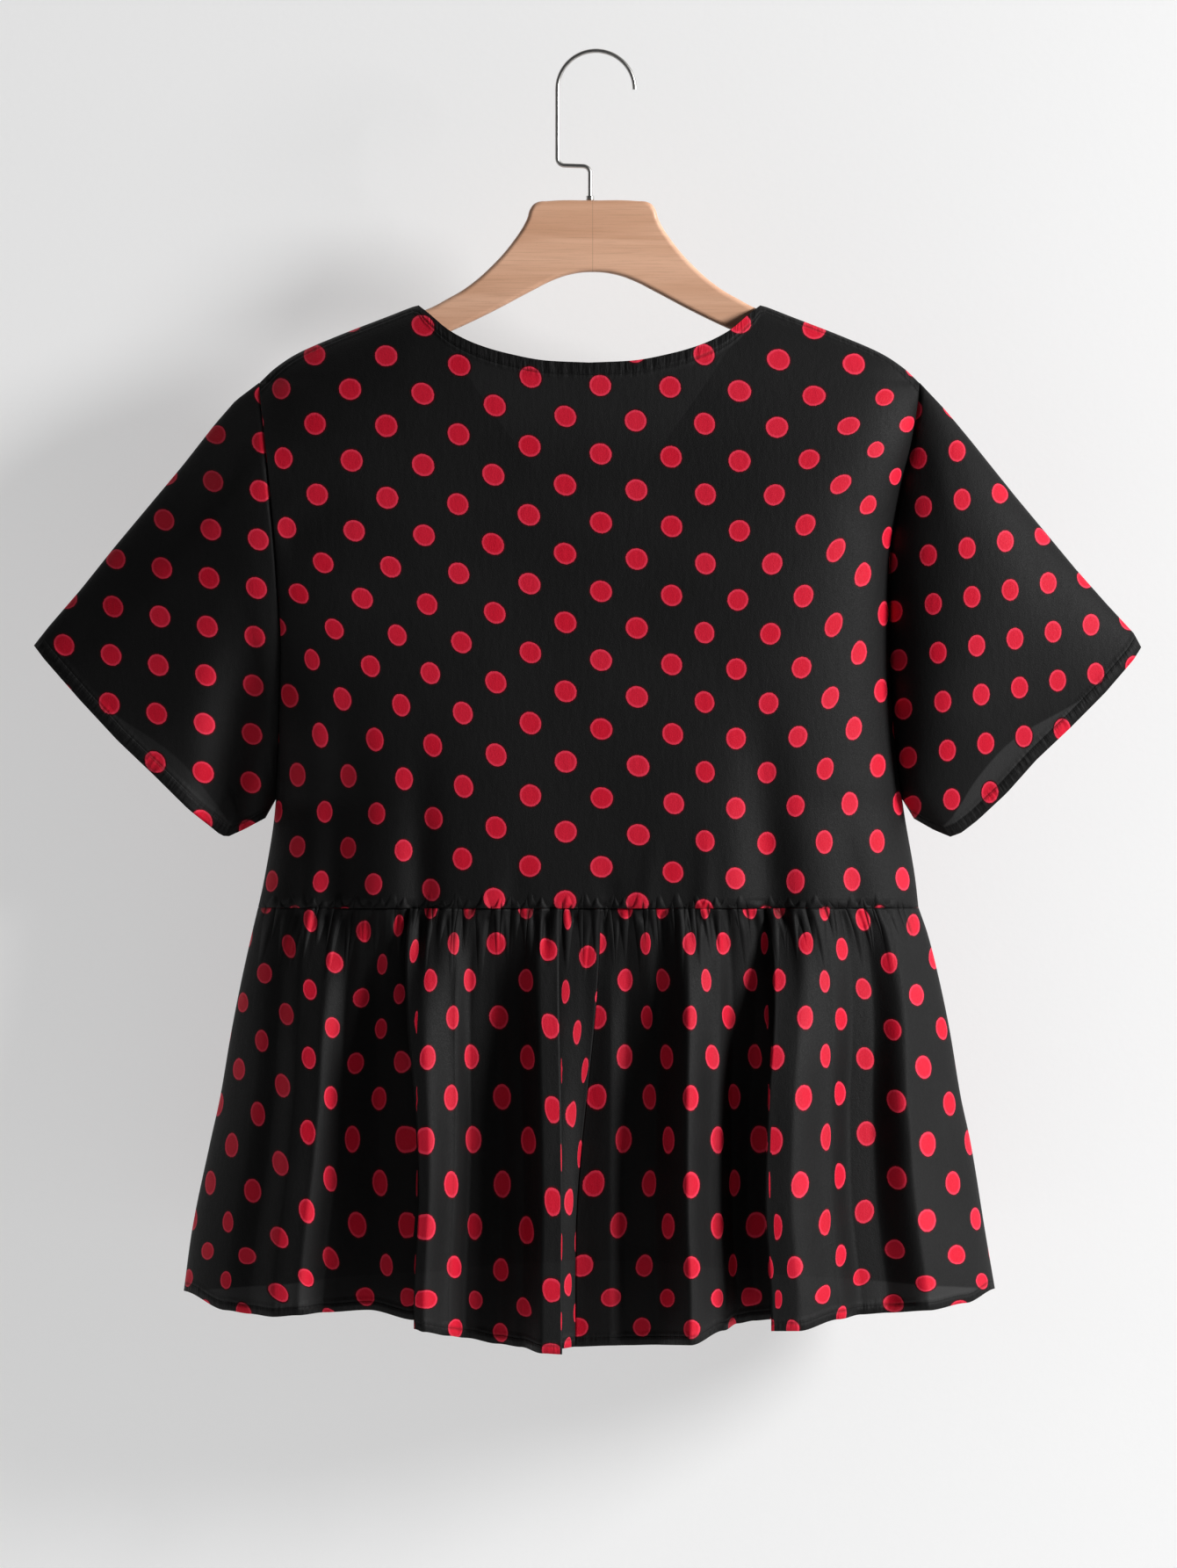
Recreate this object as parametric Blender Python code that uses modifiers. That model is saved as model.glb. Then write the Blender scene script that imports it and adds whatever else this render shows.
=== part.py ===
"""Short-sleeved peplum top hung on a wooden hanger, as open cloth walls with true seams.

The top is cut and sewn from a back bodice, a front bodice, two sleeves, a peplum back in two
halves, a peplum front and narrow neck facings. It hangs on a flat wooden hanger with a wire hook.

Frame: X to the right for someone who looks at the back of the top, -Y towards them, Z up.
The origin is inside the bend of the hook, where it bears on its rail.
Every length below is in millimetres. Meshes are made in metres.
"""

import math
from bisect import bisect_right
from collections import namedtuple

import bmesh
import bpy
from mathutils import Vector

MM = 0.001
BACK = -1
FRONT = 1
LEFT = -1
RIGHT = 1

# Cloth and seams
CLOTH = 1.5             # thickness of a cloth wall
SEAM_GAP = 1.3          # between the mid-surfaces of two panels that meet at an angle
WAIST_GAP = 0.5         # between bodice and peplum, whose edges face each other squarely
ARMHOLE_GAP = 1.9       # between bodice and sleeve, which meet in a deep valley
FACING_CLOTH = 1.0
FACING_WIDTH = 9.0
FACING_CLEARANCE = 0.8
FACING_DROP = 0.6       # its upper edge lies this far below the edge of the neck
FACING_REACH = 0.95     # share of the neck's half-width that it covers

# Heights of the bodice
WAIST_Z = -583.2
SHOULDER_POINT_Z = -225.0
UNDERARM_Z = -509.0
HALF_SHOULDER = 225.0
HALF_NECK = 117.0
NECK_SHARE = HALF_NECK / HALF_SHOULDER

# How the bodice rounds over its shoulder seam and turns at its sides
SHOULDER_ROUND = 200.0  # drop over which the cloth reaches its full depth
SIDE_ROOT = 1.6         # larger is a squarer turn
SEAM_ROUND = 0.7        # how roundly the armhole and the cuff open from their two ends

# The shoulder seam, and where its line would run on behind the neck
SHOULDER_RIDGE = (
    # distance from the middle, height
    (0, -148),
    (60, -155),
    (HALF_NECK, -172),
    (138, -180),
    (174, -194),
    (200, -205.5),
    (215, -215.5),
    (HALF_SHOULDER, SHOULDER_POINT_Z),
)
BACK_NECK = (
    # distance from the middle, height
    (0, -212.3),
    (28, -211),
    (57, -205.6),
    (78, -199),
    (95.5, -189.9),
    (109, -178.5),
    (HALF_NECK, -172),
)
FRONT_NECK = (
    # distance from the middle, height
    (0, -330),
    (35, -288),
    (70, -240),
    (95, -203),
    (110, -180.5),
    (HALF_NECK, -172),
)

BodiceSection = namedtuple("BodiceSection", "z left right back front turn")
BODICE_SECTIONS = (
    # height, half-width on each side, depth of back and front, how late the sides turn
    BodiceSection(WAIST_Z, 226.0, 224.5, 60, 60, 3.4),
    BodiceSection(-565, 222.0, 222.5, 60, 60, 3.4),
    BodiceSection(-517, 214.5, 214.5, 59, 61, 3.5),
    BodiceSection(-460, 211.0, 207.5, 57, 62, 4.0),
    BodiceSection(-406, 209.5, 204.5, 54, 62, 4.6),
    BodiceSection(-354, 212.0, 204.0, 51, 60, 5.6),
    BodiceSection(-300, 217.0, 211.0, 49, 57, 8.0),
    BodiceSection(-262, 221.0, 220.0, 48, 54, 11.0),
    BodiceSection(-224, 225.0, 225.0, 47, 52, 12.0),
    BodiceSection(-140, 225.0, 225.0, 46, 50, 12.0),
)

ArmholeStation = namedtuple("ArmholeStation", "share left right")
ARMHOLE_DEPTHS = (
    # share of the way down, distance of the seam from the middle plane on each side
    ArmholeStation(0.0, 10, 9),
    ArmholeStation(0.2, 24, 9),
    ArmholeStation(0.45, 22, 8),
    ArmholeStation(0.75, 11, 7),
    ArmholeStation(1.0, 7, 7),
)

BodiceFold = namedtuple("BodiceFold", "face x_top x_waist z_top depth width")
BODICE_FOLDS = (
    # soft vertical valleys that deepen towards the waist
    BodiceFold(BACK, -165, -171, -420, 6, 17),
    BodiceFold(BACK, -117, -114, -480, 4, 12),
    BodiceFold(BACK, 112, 124, -425, 7, 19),
    BodiceFold(FRONT, -146, -150, -430, 6, 18),
    BodiceFold(FRONT, -60, -64, -480, 4, 13),
    BodiceFold(FRONT, 52, 60, -470, 5, 14),
    BodiceFold(FRONT, 150, 158, -420, 6, 19),
)

PeplumSection = namedtuple("PeplumSection", "z left right back front")
PEPLUM_END_Z = -845
PEPLUM_SECTIONS = (
    # height, half-width on each side, depth of back and front
    PeplumSection(PEPLUM_END_Z, 276.8, 277.0, 76, 76),
    PeplumSection(-804, 271.2, 270.0, 75, 75),
    PeplumSection(-743, 258.6, 260.0, 72, 72),
    PeplumSection(-713, 252.0, 253.5, 70, 70),
    PeplumSection(-668, 244.3, 246.0, 67, 67),
    PeplumSection(-634, 237.6, 239.0, 64, 64),
    PeplumSection(-602, 230.5, 231.0, 61, 61),
    PeplumSection(WAIST_Z, 226.0, 224.5, 60, 60),
)

Crease = namedtuple("Crease", "x_waist x_hem out hem_z")
BACK_CREASES_LEFT = (
    # where a crease starts and ends, how far it stands out (+) or in (-), its height at the hem
    Crease(-226.0, -276.8, 0, -845),
    Crease(-199.8, -241.8, 9, -857),
    Crease(-191.0, -222.6, -5, -859.5),
    Crease(-177.6, -203.4, 8, -860),
    Crease(-155.4, -169.8, -13, -856),
    Crease(-130.0, -130.0, -12, -861.5),
    Crease(-117.0, -116.0, 12, -867),
    Crease(-103.8, -104.0, 12, -870),
    Crease(-84.6, -82.2, -11, -872.5),
    Crease(-54.0, -51.0, -3, -879.5),
    Crease(-31.0, -31.0, 13, -883.5),
    Crease(-20.0, -22.0, 11, -883.8),
    Crease(7.2, -9.6, -11, -880.5),
)
BACK_CREASES_RIGHT = (
    BACK_CREASES_LEFT[-1],
    Crease(18.6, 17.4, -4, -879.6),
    Crease(38.4, 41.4, -11, -879),
    Crease(64.2, 68.4, 13, -878),
    Crease(95.4, 100.0, -15, -866.5),
    Crease(113.0, 114.0, -15, -862),
    Crease(126.0, 129.5, 12, -868.5),
    Crease(138.6, 142.2, 12, -868.5),
    Crease(170.4, 177.0, -12, -859),
    Crease(197.4, 221.4, 10, -857),
    Crease(213.0, 254.0, -3, -852.5),
    Crease(224.5, 277.0, 0, -843.5),
)
FRONT_CREASES = (
    Crease(-226.0, -276.8, 0, -845),
    Crease(-196, -236, 9, -840.5),
    Crease(-176, -212, -9, -838.5),
    Crease(-152, -181, 11, -835),
    Crease(-124, -146, -12, -832),
    Crease(-97, -112, 12, -829),
    Crease(-66, -78, -11, -826),
    Crease(-40, -44, 10, -823.5),
    Crease(-15, -16, -10, -822),
    Crease(14, 19, 11, -822),
    Crease(46, 54, -12, -823.5),
    Crease(73, 88, 12, -826.5),
    Crease(105, 124, -11, -829.5),
    Crease(131, 154, 11, -832.5),
    Crease(161, 191, -11, -836),
    Crease(186, 222, 9, -838.5),
    Crease(207, 252, -4, -841),
    Crease(224.5, 277, 0, -843.5),
)
GATHER_SHARE = 0.15     # share of a crease's depth that is already there at the waist
GATHER_RUN = 0.55       # share of the peplum's height over which it grows to the full depth
FLARE_RUN = 0.77        # share of the height over which a crease leans from its waist to its hem place
FITTED_RUN = 0.4        # share of the height over which the peplum leaves the bodice's own curve
SIDE_CALM = 6           # creases fade out where the cloth turns to its side seam, later with more
SIDE_CROWDING = 1.7     # lines of cloth crowd together towards a side seam
SIDE_STEPS = 5
WIDE_STEPS = 3
NARROW_STEPS = 2

# Sleeves, as outlines seen from behind. The cuff runs from its outer tip to the underarm.
SleeveOutline = namedtuple("SleeveOutline", "side top cuff")
LEFT_SLEEVE = SleeveOutline(
    LEFT,
    ((-225.0, -225.0), (-241, -237), (-255, -253), (-277.5, -281.7), (-323.5, -336.6), (-347, -366),
     (-369.3, -391.8), (-379.2, -404.4)),
    ((-379.2, -404.4), (-372, -413.7), (-346.8, -442.2), (-321.6, -469.2), (-296.4, -493.2),
     (-273.6, -516), (-252, -533.6), (-247.5, -535.2), (-234, -529), (-221.5, -522)),
)
RIGHT_SLEEVE = SleeveOutline(
    RIGHT,
    ((225.0, -225.0), (242.4, -243.4), (258.6, -262.8), (290.4, -302.4), (311.4, -327.6),
     (331.8, -352.2), (352.6, -375.6), (371.8, -396.3), (376.7, -405.6)),
    ((376.7, -405.6), (371.4, -414), (351.6, -436.8), (327.4, -461), (304.7, -482.4), (284.4, -505.2),
     (264.5, -523.8), (253.8, -532), (246.4, -534.8), (235, -530), (222.0, -522.5)),
)
CUFF_DEPTH = 20.0       # half the depth of the open cuff
SLEEVE_HUMP = {LEFT: 7.0, RIGHT: 17.0}  # how far a sleeve stands out beyond its seam and cuff
HUMP_PLACE = 0.7        # below 1, the sleeve stands out most nearer its armhole
CUFF_LIFT = {LEFT: 17.0, RIGHT: 14.0}   # how much higher the front edge of a cuff hangs
LIFT_CROWN = 1.5        # above 1, that lift gathers towards the middle of the cuff

# Hanger
HANGER_X = 2.2          # its middle sits a little to the right of the rail
HANGER_THICK = 12.0
HANGER_EDGE = 3.0       # rounding of its long edges
HANGER_SEAT = 2.3       # its top edge lies this far under the line of the shoulder seam
HANGER_TOP = (
    # distance from the hanger's middle, height
    (0, -100.4),
    (30, -100.8),
    (39, -102.2),
    (42.5, -106),
    (45, -113.5),
    (54, -128),
    (69, -145.3),
    (87, -160.5),
    (99, -167.5),
    (112, -174.3),
)
HANGER_SEATED = (132, 152, 172, 188)
HANGER_TIP = ((195, -208.2), (199.5, -213.5), (199.5, -220), (194, -224.5))
HANGER_UNDER = (
    (176, -219),
    (150, -209.5),
    (120, -199),
    (96.5, -189.5),
    (68, -176),
    (41.5, -162),
    (28, -155.2),
    (15, -150.8),
    (0, -149.2),
)

# Hook
WIRE = 3.0
STEM_X = 0.5
STEM_SUNK = 12.0        # length of wire inside the wood
BORE_DEEPER = 1.0       # the bore runs this far past the end of the wire
HOLE_CLEARANCE = 0.35
BEND_X = 4.5            # centre of the hook's bend
BEND_Z = -24.5
BEND_RADIUS = 26.4
KNEE_Z = -77.0          # height of the sideways run between stem and shank
KNEE_RADIUS = 5.0
KNEE_RISE = 0.8         # the sideways run climbs a little towards the shank
BEND_STEPS = 18
CORNER_STEPS = 4
FERRULE_HEIGHT = 3.0
FERRULE_WALL = 0.9
FERRULE_GAP = 0.3
RING_SIDES = 24

# Fineness of the meshes
BODICE_ROWS = 13
NECK_COLUMNS = 14
SHOULDER_COLUMNS = 6
SLEEVE_ROWS = 7
SLEEVE_RING = 24
PEPLUM_ROWS = 7
WIDE_CREASE = 14.0      # a stretch between creases that is wider than this is drawn curved
SHARP = math.radians(50)
WELD = 0.01             # points of the hanger's outline closer than this are one point
NEARBY = 0.01           # small step across or up a panel, to find its slope

Finish = namedtuple("Finish", "name colour roughness metallic")
CREPE = Finish("black_crepe", (0.012, 0.012, 0.013), 0.62, 0.0)
FACING = Finish("facing_crepe", (0.010, 0.010, 0.011), 0.70, 0.0)
BEECH = Finish("pale_beech", (0.62, 0.34, 0.22), 0.45, 0.0)
STEEL = Finish("plated_steel", (0.62, 0.62, 0.60), 0.25, 1.0)


class Curve:
    """A smooth curve through rows of (key, value) that never swings past its own rows."""

    def __init__(self, rows):
        rows = sorted((row[0], row[1]) for row in rows)
        self.keys = [row[0] for row in rows]
        self.values = [row[1] for row in rows]
        spans = [b - a for a, b in zip(self.keys, self.keys[1:])]
        rises = [(b - a) / span for a, b, span in zip(self.values, self.values[1:], spans)]
        self.slopes = [rises[0]]
        for before, after in zip(rises, rises[1:]):
            same_way = before * after > 0
            self.slopes.append(2 * before * after / (before + after) if same_way else 0.0)
        self.slopes.append(rises[-1])

    def __call__(self, key):
        if key <= self.keys[0]:
            return self.values[0]
        if key >= self.keys[-1]:
            return self.values[-1]
        i = bisect_right(self.keys, key) - 1
        span = self.keys[i + 1] - self.keys[i]
        t = (key - self.keys[i]) / span
        start = (1 + 2 * t) * (1 - t) ** 2 * self.values[i]
        end = t * t * (3 - 2 * t) * self.values[i + 1]
        lean = t * (1 - t) ** 2 * span * self.slopes[i] - t * t * (1 - t) * span * self.slopes[i + 1]
        return start + end + lean


def column(rows, key, value):
    """The curve of one named column of a table against another."""
    return Curve([(getattr(row, key), getattr(row, value)) for row in rows])


def ease(t):
    t = min(1.0, max(0.0, t))
    return t * t * (3 - 2 * t)


def mix(a, b, t):
    return a + (b - a) * t


RIDGE = Curve(SHOULDER_RIDGE)
NECKLINE = {BACK: Curve(BACK_NECK), FRONT: Curve(FRONT_NECK)}
BODICE_WIDTH = {LEFT: column(BODICE_SECTIONS, "z", "left"), RIGHT: column(BODICE_SECTIONS, "z", "right")}
BODICE_DEPTH = {BACK: column(BODICE_SECTIONS, "z", "back"), FRONT: column(BODICE_SECTIONS, "z", "front")}
BODICE_TURN = column(BODICE_SECTIONS, "z", "turn")
PEPLUM_WIDTH = {LEFT: column(PEPLUM_SECTIONS, "z", "left"), RIGHT: column(PEPLUM_SECTIONS, "z", "right")}
PEPLUM_DEPTH = {BACK: column(PEPLUM_SECTIONS, "z", "back"), FRONT: column(PEPLUM_SECTIONS, "z", "front")}
ARMHOLE = {LEFT: column(ARMHOLE_DEPTHS, "share", "left"), RIGHT: column(ARMHOLE_DEPTHS, "share", "right")}


def armhole_depth(side, share):
    """Distance of the armhole seam from the middle plane, 0 at the shoulder and the underarm."""
    if share <= 0 or share >= 1:
        return 0.0
    return ARMHOLE[side](share) * (2 * math.sqrt(share * (1 - share))) ** SEAM_ROUND


def side_turn(across, power):
    """1 over the middle of a panel, falling to 0 where it turns round to its side seam."""
    return max(0.0, 1 - min(1.0, abs(across)) ** power) ** (1 / SIDE_ROOT)


def bodice_x(across, z):
    side = LEFT if across < 0 else RIGHT
    return across * BODICE_WIDTH[side](z)


def bodice_depth(face, across, z):
    """Distance of the back or front bodice from the middle plane."""
    side = LEFT if across < 0 else RIGHT
    x = bodice_x(across, z)
    drop = max(0.0, RIDGE(abs(x)) - z)
    rounding = math.sqrt(1 - (1 - min(1.0, drop / SHOULDER_ROUND)) ** 2)
    share = (SHOULDER_POINT_Z - z) / (SHOULDER_POINT_Z - UNDERARM_Z)
    edge = armhole_depth(side, share)
    middle = BODICE_DEPTH[face](z) * rounding
    depth = edge + (middle - edge) * side_turn(across, BODICE_TURN(z))
    for fold in BODICE_FOLDS:
        if fold.face == face and z < fold.z_top:
            run = (fold.z_top - z) / (fold.z_top - WAIST_Z)
            away = (x - mix(fold.x_top, fold.x_waist, run)) / fold.width
            depth -= fold.depth * ease(run) * math.exp(-away * away)
    return depth


def bodice_point(face, across, height):
    """Point of a bodice panel. across is -1 to 1, height is 0 at the waist and 1 at the top edge."""
    reach = abs(across) * HALF_SHOULDER
    top = NECKLINE[face](reach) if reach < HALF_NECK else RIDGE(reach)
    z = mix(WAIST_Z, top, height)
    depth = bodice_depth(face, across, z)
    return Vector((bodice_x(across, z), face * (depth + SEAM_GAP / 2), z))


def bodice_columns():
    neck = [NECK_SHARE * math.sin(math.pi * (i / NECK_COLUMNS - 0.5)) for i in range(NECK_COLUMNS + 1)]
    turns = [math.sin(math.pi / 2 * i / SHOULDER_COLUMNS) for i in range(1, SHOULDER_COLUMNS + 1)]
    shoulder = [mix(NECK_SHARE, 1.0, turn) for turn in turns]
    return [-a for a in reversed(shoulder)] + neck + shoulder


def bodice_grid(face):
    heights = [math.sin(math.pi / 2 * i / BODICE_ROWS) for i in range(BODICE_ROWS + 1)]
    return [[bodice_point(face, across, height) for across in bodice_columns()] for height in heights]


def facing_grid(face):
    """The neck facing: the bodice's own points along the neck, moved in behind it."""
    inset = (CLOTH + FACING_CLOTH) / 2 + FACING_CLEARANCE
    columns = [across for across in bodice_columns() if abs(across) < FACING_REACH * NECK_SHARE]
    rows = []
    for drop in (FACING_DROP, FACING_WIDTH / 2, FACING_WIDTH):
        row = []
        for across in columns:
            height = 1 - drop / (NECKLINE[face](abs(across) * HALF_SHOULDER) - WAIST_Z)
            here = bodice_point(face, across, height)
            sideways = bodice_point(face, across + NEARBY, height) - here
            upwards = bodice_point(face, across, height - NEARBY) - here
            normal = sideways.cross(upwards).normalized()
            inwards = normal if normal.y * face < 0 else -normal
            row.append(here + inwards * inset)
        rows.append(row)
    return rows


def peplum_point(face, x_waist, x_hem, out, hem_z, down):
    """Point of the peplum on the line of cloth that runs from x_waist to x_hem."""
    z = mix(WAIST_Z - WAIST_GAP, hem_z, down)
    side = LEFT if x_hem < 0 else RIGHT
    waist_share = x_waist / PEPLUM_WIDTH[side](WAIST_Z)
    hem_share = x_hem / PEPLUM_WIDTH[side](PEPLUM_END_Z)
    across = mix(waist_share, hem_share, ease(down / FLARE_RUN))
    x = across * PEPLUM_WIDTH[side](z)
    growth = mix(GATHER_SHARE, 1.0, ease(down / GATHER_RUN))
    near_waist = 1 - ease(down / FITTED_RUN)
    plain = PEPLUM_DEPTH[face](z) * side_turn(across, BODICE_TURN(WAIST_Z))
    fitted = bodice_depth(face, across, WAIST_Z)
    depth = mix(plain, fitted, near_waist) + out * growth * side_turn(across, SIDE_CALM)
    return Vector((x, face * (depth + SEAM_GAP / 2), z))


def crease_lines(creases):
    """Lines of cloth from waist to hem: the creases, and curved stretches between them."""
    lines = []
    for a, b in zip(creases, creases[1:]):
        wide = abs(b.x_hem - a.x_hem) > WIDE_CREASE
        steps = WIDE_STEPS if wide else NARROW_STEPS
        if a is creases[0] or b is creases[-1]:
            steps = SIDE_STEPS
        for i in range(steps):
            t = i / steps
            if a.out == 0:
                t = t ** SIDE_CROWDING
            if b.out == 0:
                t = 1 - (1 - t) ** SIDE_CROWDING
            lines.append((
                mix(a.x_waist, b.x_waist, t),
                mix(a.x_hem, b.x_hem, t),
                mix(a.out, b.out, ease(t)),
                mix(a.hem_z, b.hem_z, t),
            ))
    lines.append(tuple(creases[-1]))
    return lines


def peplum_grid(face, creases, trim_start=0.0, trim_end=0.0):
    """Rows of the peplum from hem to waist. A trimmed end leaves the gap of an upright seam."""
    lines = crease_lines(creases)
    rows = []
    for i in range(PEPLUM_ROWS + 1):
        down = 1 - i / PEPLUM_ROWS
        row = [peplum_point(face, *line, down) for line in lines]
        row[0].x += trim_start
        row[-1].x -= trim_end
        rows.append(row)
    return rows


def along(points, share):
    """Point at a share of a polyline's length."""
    vectors = [Vector(p) for p in points]
    spans = [(b - a).length for a, b in zip(vectors, vectors[1:])]
    left = share * sum(spans)
    for a, b, span in zip(vectors, vectors[1:], spans):
        if left <= span:
            return a.lerp(b, left / span)
        left -= span
    return vectors[-1]


def sleeve_outline_point(sleeve, face, share, out):
    """Flat place on a sleeve: share runs from its top to the underarm, out from armhole to cuff."""
    start = Vector((sleeve.side * BODICE_WIDTH[sleeve.side](mix(SHOULDER_POINT_Z, UNDERARM_Z, share)),
                    mix(SHOULDER_POINT_Z, UNDERARM_Z, share)))
    start.x += sleeve.side * ARMHOLE_GAP
    underarm_start = Vector((sleeve.side * (BODICE_WIDTH[sleeve.side](UNDERARM_Z) + ARMHOLE_GAP), UNDERARM_Z))
    shoulder = Vector((sleeve.side * (HALF_SHOULDER + ARMHOLE_GAP), SHOULDER_POINT_Z))
    tip = Vector(sleeve.top[-1])
    inner = Vector(sleeve.cuff[-1])
    end = along(sleeve.cuff, share)
    if face == FRONT:
        lift = CUFF_LIFT[sleeve.side] * math.sin(math.pi * share) ** LIFT_CROWN
        end = end + (start - end).normalized() * lift
    upper = along(sleeve.top, out)
    upper.x += sleeve.side * ARMHOLE_GAP * (1 - out)
    lower = underarm_start.lerp(inner, out)
    ruled = start.lerp(end, out) + upper.lerp(lower, share)
    corners = shoulder.lerp(underarm_start, share).lerp(tip.lerp(inner, share), out)
    return ruled - corners


def sleeve_grid(sleeve):
    """Closed rings of a sleeve from its armhole to its cuff."""
    rings = []
    for i in range(SLEEVE_ROWS + 1):
        out = i / SLEEVE_ROWS
        ring = []
        for j in range(SLEEVE_RING):
            angle = 2 * math.pi * j / SLEEVE_RING
            share = (1 - math.cos(angle)) / 2
            face = BACK if angle < math.pi else FRONT
            place = sleeve_outline_point(sleeve, face, share, out)
            cuff = CUFF_DEPTH * abs(math.sin(angle))
            hump = SLEEVE_HUMP[sleeve.side] * abs(math.sin(angle)) * math.sin(math.pi * out ** HUMP_PLACE)
            depth = mix(armhole_depth(sleeve.side, share), cuff, out) + hump
            ring.append(Vector((place.x, face * depth, place.y)))
        rings.append(ring)
    return rings


def clear_scene():
    for item in list(bpy.context.scene.objects):
        bpy.data.objects.remove(item, do_unlink=True)


def new_collection(name):
    collection = bpy.data.collections.new(name)
    bpy.context.scene.collection.children.link(collection)
    return collection


def material(finish):
    made = bpy.data.materials.get(finish.name)
    if made:
        return made
    made = bpy.data.materials.new(finish.name)
    made.use_nodes = True
    shader = made.node_tree.nodes["Principled BSDF"]
    shader.inputs["Base Color"].default_value = (*finish.colour, 1.0)
    shader.inputs["Roughness"].default_value = finish.roughness
    shader.inputs["Metallic"].default_value = finish.metallic
    return made


def add_part(parts, name, data, finish):
    data.materials.append(material(finish))
    item = bpy.data.objects.new(name, data)
    parts.objects.link(item)
    return item


def cloth_part(parts, name, rows, finish, thickness=CLOTH, ring=False):
    """A cloth wall: the open surface through rows of points, made solid about its middle."""
    surface = bmesh.new()
    grid = [[surface.verts.new(point * MM) for point in row] for row in rows]
    for low, high in zip(grid, grid[1:]):
        count = len(low)
        for i in range(count if ring else count - 1):
            j = (i + 1) % count
            surface.faces.new((low[i], low[j], high[j], high[i]))
    bmesh.ops.recalc_face_normals(surface, faces=surface.faces)
    mesh = bpy.data.meshes.new(name)
    surface.to_mesh(mesh)
    surface.free()
    mesh.shade_smooth()
    mesh.set_sharp_from_angle(angle=SHARP)
    part = add_part(parts, name, mesh, finish)
    wall = part.modifiers.new("Cloth wall", "SOLIDIFY")
    wall.thickness = thickness * MM
    wall.offset = 0.0
    return part


def hanger_outline():
    """Outline of the hanger, anticlockwise from the middle of its top edge."""
    seated = [(d, RIDGE(d + HANGER_X) - HANGER_SEAT) for d in HANGER_SEATED]
    half = [*HANGER_TOP, *seated, *HANGER_TIP, *HANGER_UNDER]
    left = [(-d, z) for d, z in half]
    right = [(d, z) for d, z in reversed(half[1:-1])]
    return left + right


def hanger_part(parts, cutters):
    """The wooden hanger: a flat outline with rounded edges and a bored seat for the wire."""
    outline = hanger_outline()
    curve = bpy.data.curves.new("hanger_outline", "CURVE")
    curve.dimensions = "2D"
    curve.fill_mode = "BOTH"
    curve.extrude = (HANGER_THICK / 2 - HANGER_EDGE) * MM
    curve.bevel_depth = HANGER_EDGE * MM
    curve.bevel_resolution = 1
    curve.offset = -HANGER_EDGE * MM
    spline = curve.splines.new("POLY")
    spline.points.add(len(outline) - 1)
    for point, (x, z) in zip(spline.points, outline):
        point.co = (x * MM, z * MM, 0.0, 1.0)
    spline.use_cyclic_u = True
    blank = bpy.data.objects.new("hanger_blank", curve)
    blank.rotation_euler.x = math.pi / 2
    blank.location.x = HANGER_X * MM
    cutters.objects.link(blank)
    bpy.context.view_layer.update()
    evaluated = blank.evaluated_get(bpy.context.evaluated_depsgraph_get())
    mesh = bpy.data.meshes.new_from_object(evaluated)
    placed = blank.matrix_world.copy()
    bpy.data.objects.remove(blank, do_unlink=True)
    welded = bmesh.new()
    welded.from_mesh(mesh)
    bmesh.ops.remove_doubles(welded, verts=welded.verts, dist=WELD * MM)
    bmesh.ops.recalc_face_normals(welded, faces=welded.faces)
    welded.to_mesh(mesh)
    welded.free()
    mesh.materials.clear()
    hanger = add_part(parts, "hanger_wood", mesh, BEECH)
    hanger.matrix_world = placed

    bore = bpy.data.meshes.new("wire_bore")
    shape = bmesh.new()
    radius = (WIRE / 2 + HOLE_CLEARANCE) * MM
    length = (STEM_SUNK + BORE_DEEPER) * 2 * MM
    bmesh.ops.create_cone(
        shape, cap_ends=True, segments=RING_SIDES, radius1=radius, radius2=radius, depth=length
    )
    shape.to_mesh(bore)
    shape.free()
    cutter = bpy.data.objects.new("wire_bore", bore)
    cutter.location = (STEM_X * MM, 0.0, HANGER_TOP[0][1] * MM)
    cutter.hide_render = True
    cutter.display_type = "WIRE"
    cutters.objects.link(cutter)
    cut = hanger.modifiers.new("Wire bore", "BOOLEAN")
    cut.operation = "DIFFERENCE"
    cut.object = cutter
    return hanger


def corner(before, at, after, radius):
    """Points of an arc that rounds one corner of a path."""
    back = (before - at).normalized()
    on = (after - at).normalized()
    half = back.angle(on) / 2
    reach = radius / math.tan(half)
    centre = at + (back + on).normalized() * radius / math.sin(half)
    start = (at + back * reach - centre).normalized()
    end = (at + on * reach - centre).normalized()
    return [centre + start.slerp(end, i / CORNER_STEPS) * radius for i in range(CORNER_STEPS + 1)]


def hook_path():
    shank_x = BEND_X - BEND_RADIUS
    foot = Vector((STEM_X, HANGER_TOP[0][1] - STEM_SUNK))
    low_knee = Vector((STEM_X, KNEE_Z))
    high_knee = Vector((shank_x, KNEE_Z + KNEE_RISE))
    shank_top = Vector((shank_x, BEND_Z))
    path = [foot]
    path += corner(foot, low_knee, high_knee, KNEE_RADIUS)
    path += corner(low_knee, high_knee, shank_top, KNEE_RADIUS)
    for i in range(BEND_STEPS + 1):
        angle = math.pi * (1 - i / BEND_STEPS)
        path.append(Vector((BEND_X + BEND_RADIUS * math.cos(angle), BEND_Z + BEND_RADIUS * math.sin(angle))))
    return path


def hook_part(parts):
    curve = bpy.data.curves.new("hanger_hook", "CURVE")
    curve.dimensions = "3D"
    curve.bevel_depth = WIRE / 2 * MM
    curve.bevel_resolution = 2
    curve.use_fill_caps = True
    path = hook_path()
    spline = curve.splines.new("POLY")
    spline.points.add(len(path) - 1)
    for point, place in zip(spline.points, path):
        point.co = (place.x * MM, 0.0, place.y * MM, 1.0)
    return add_part(parts, "hanger_hook", curve, STEEL)


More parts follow.
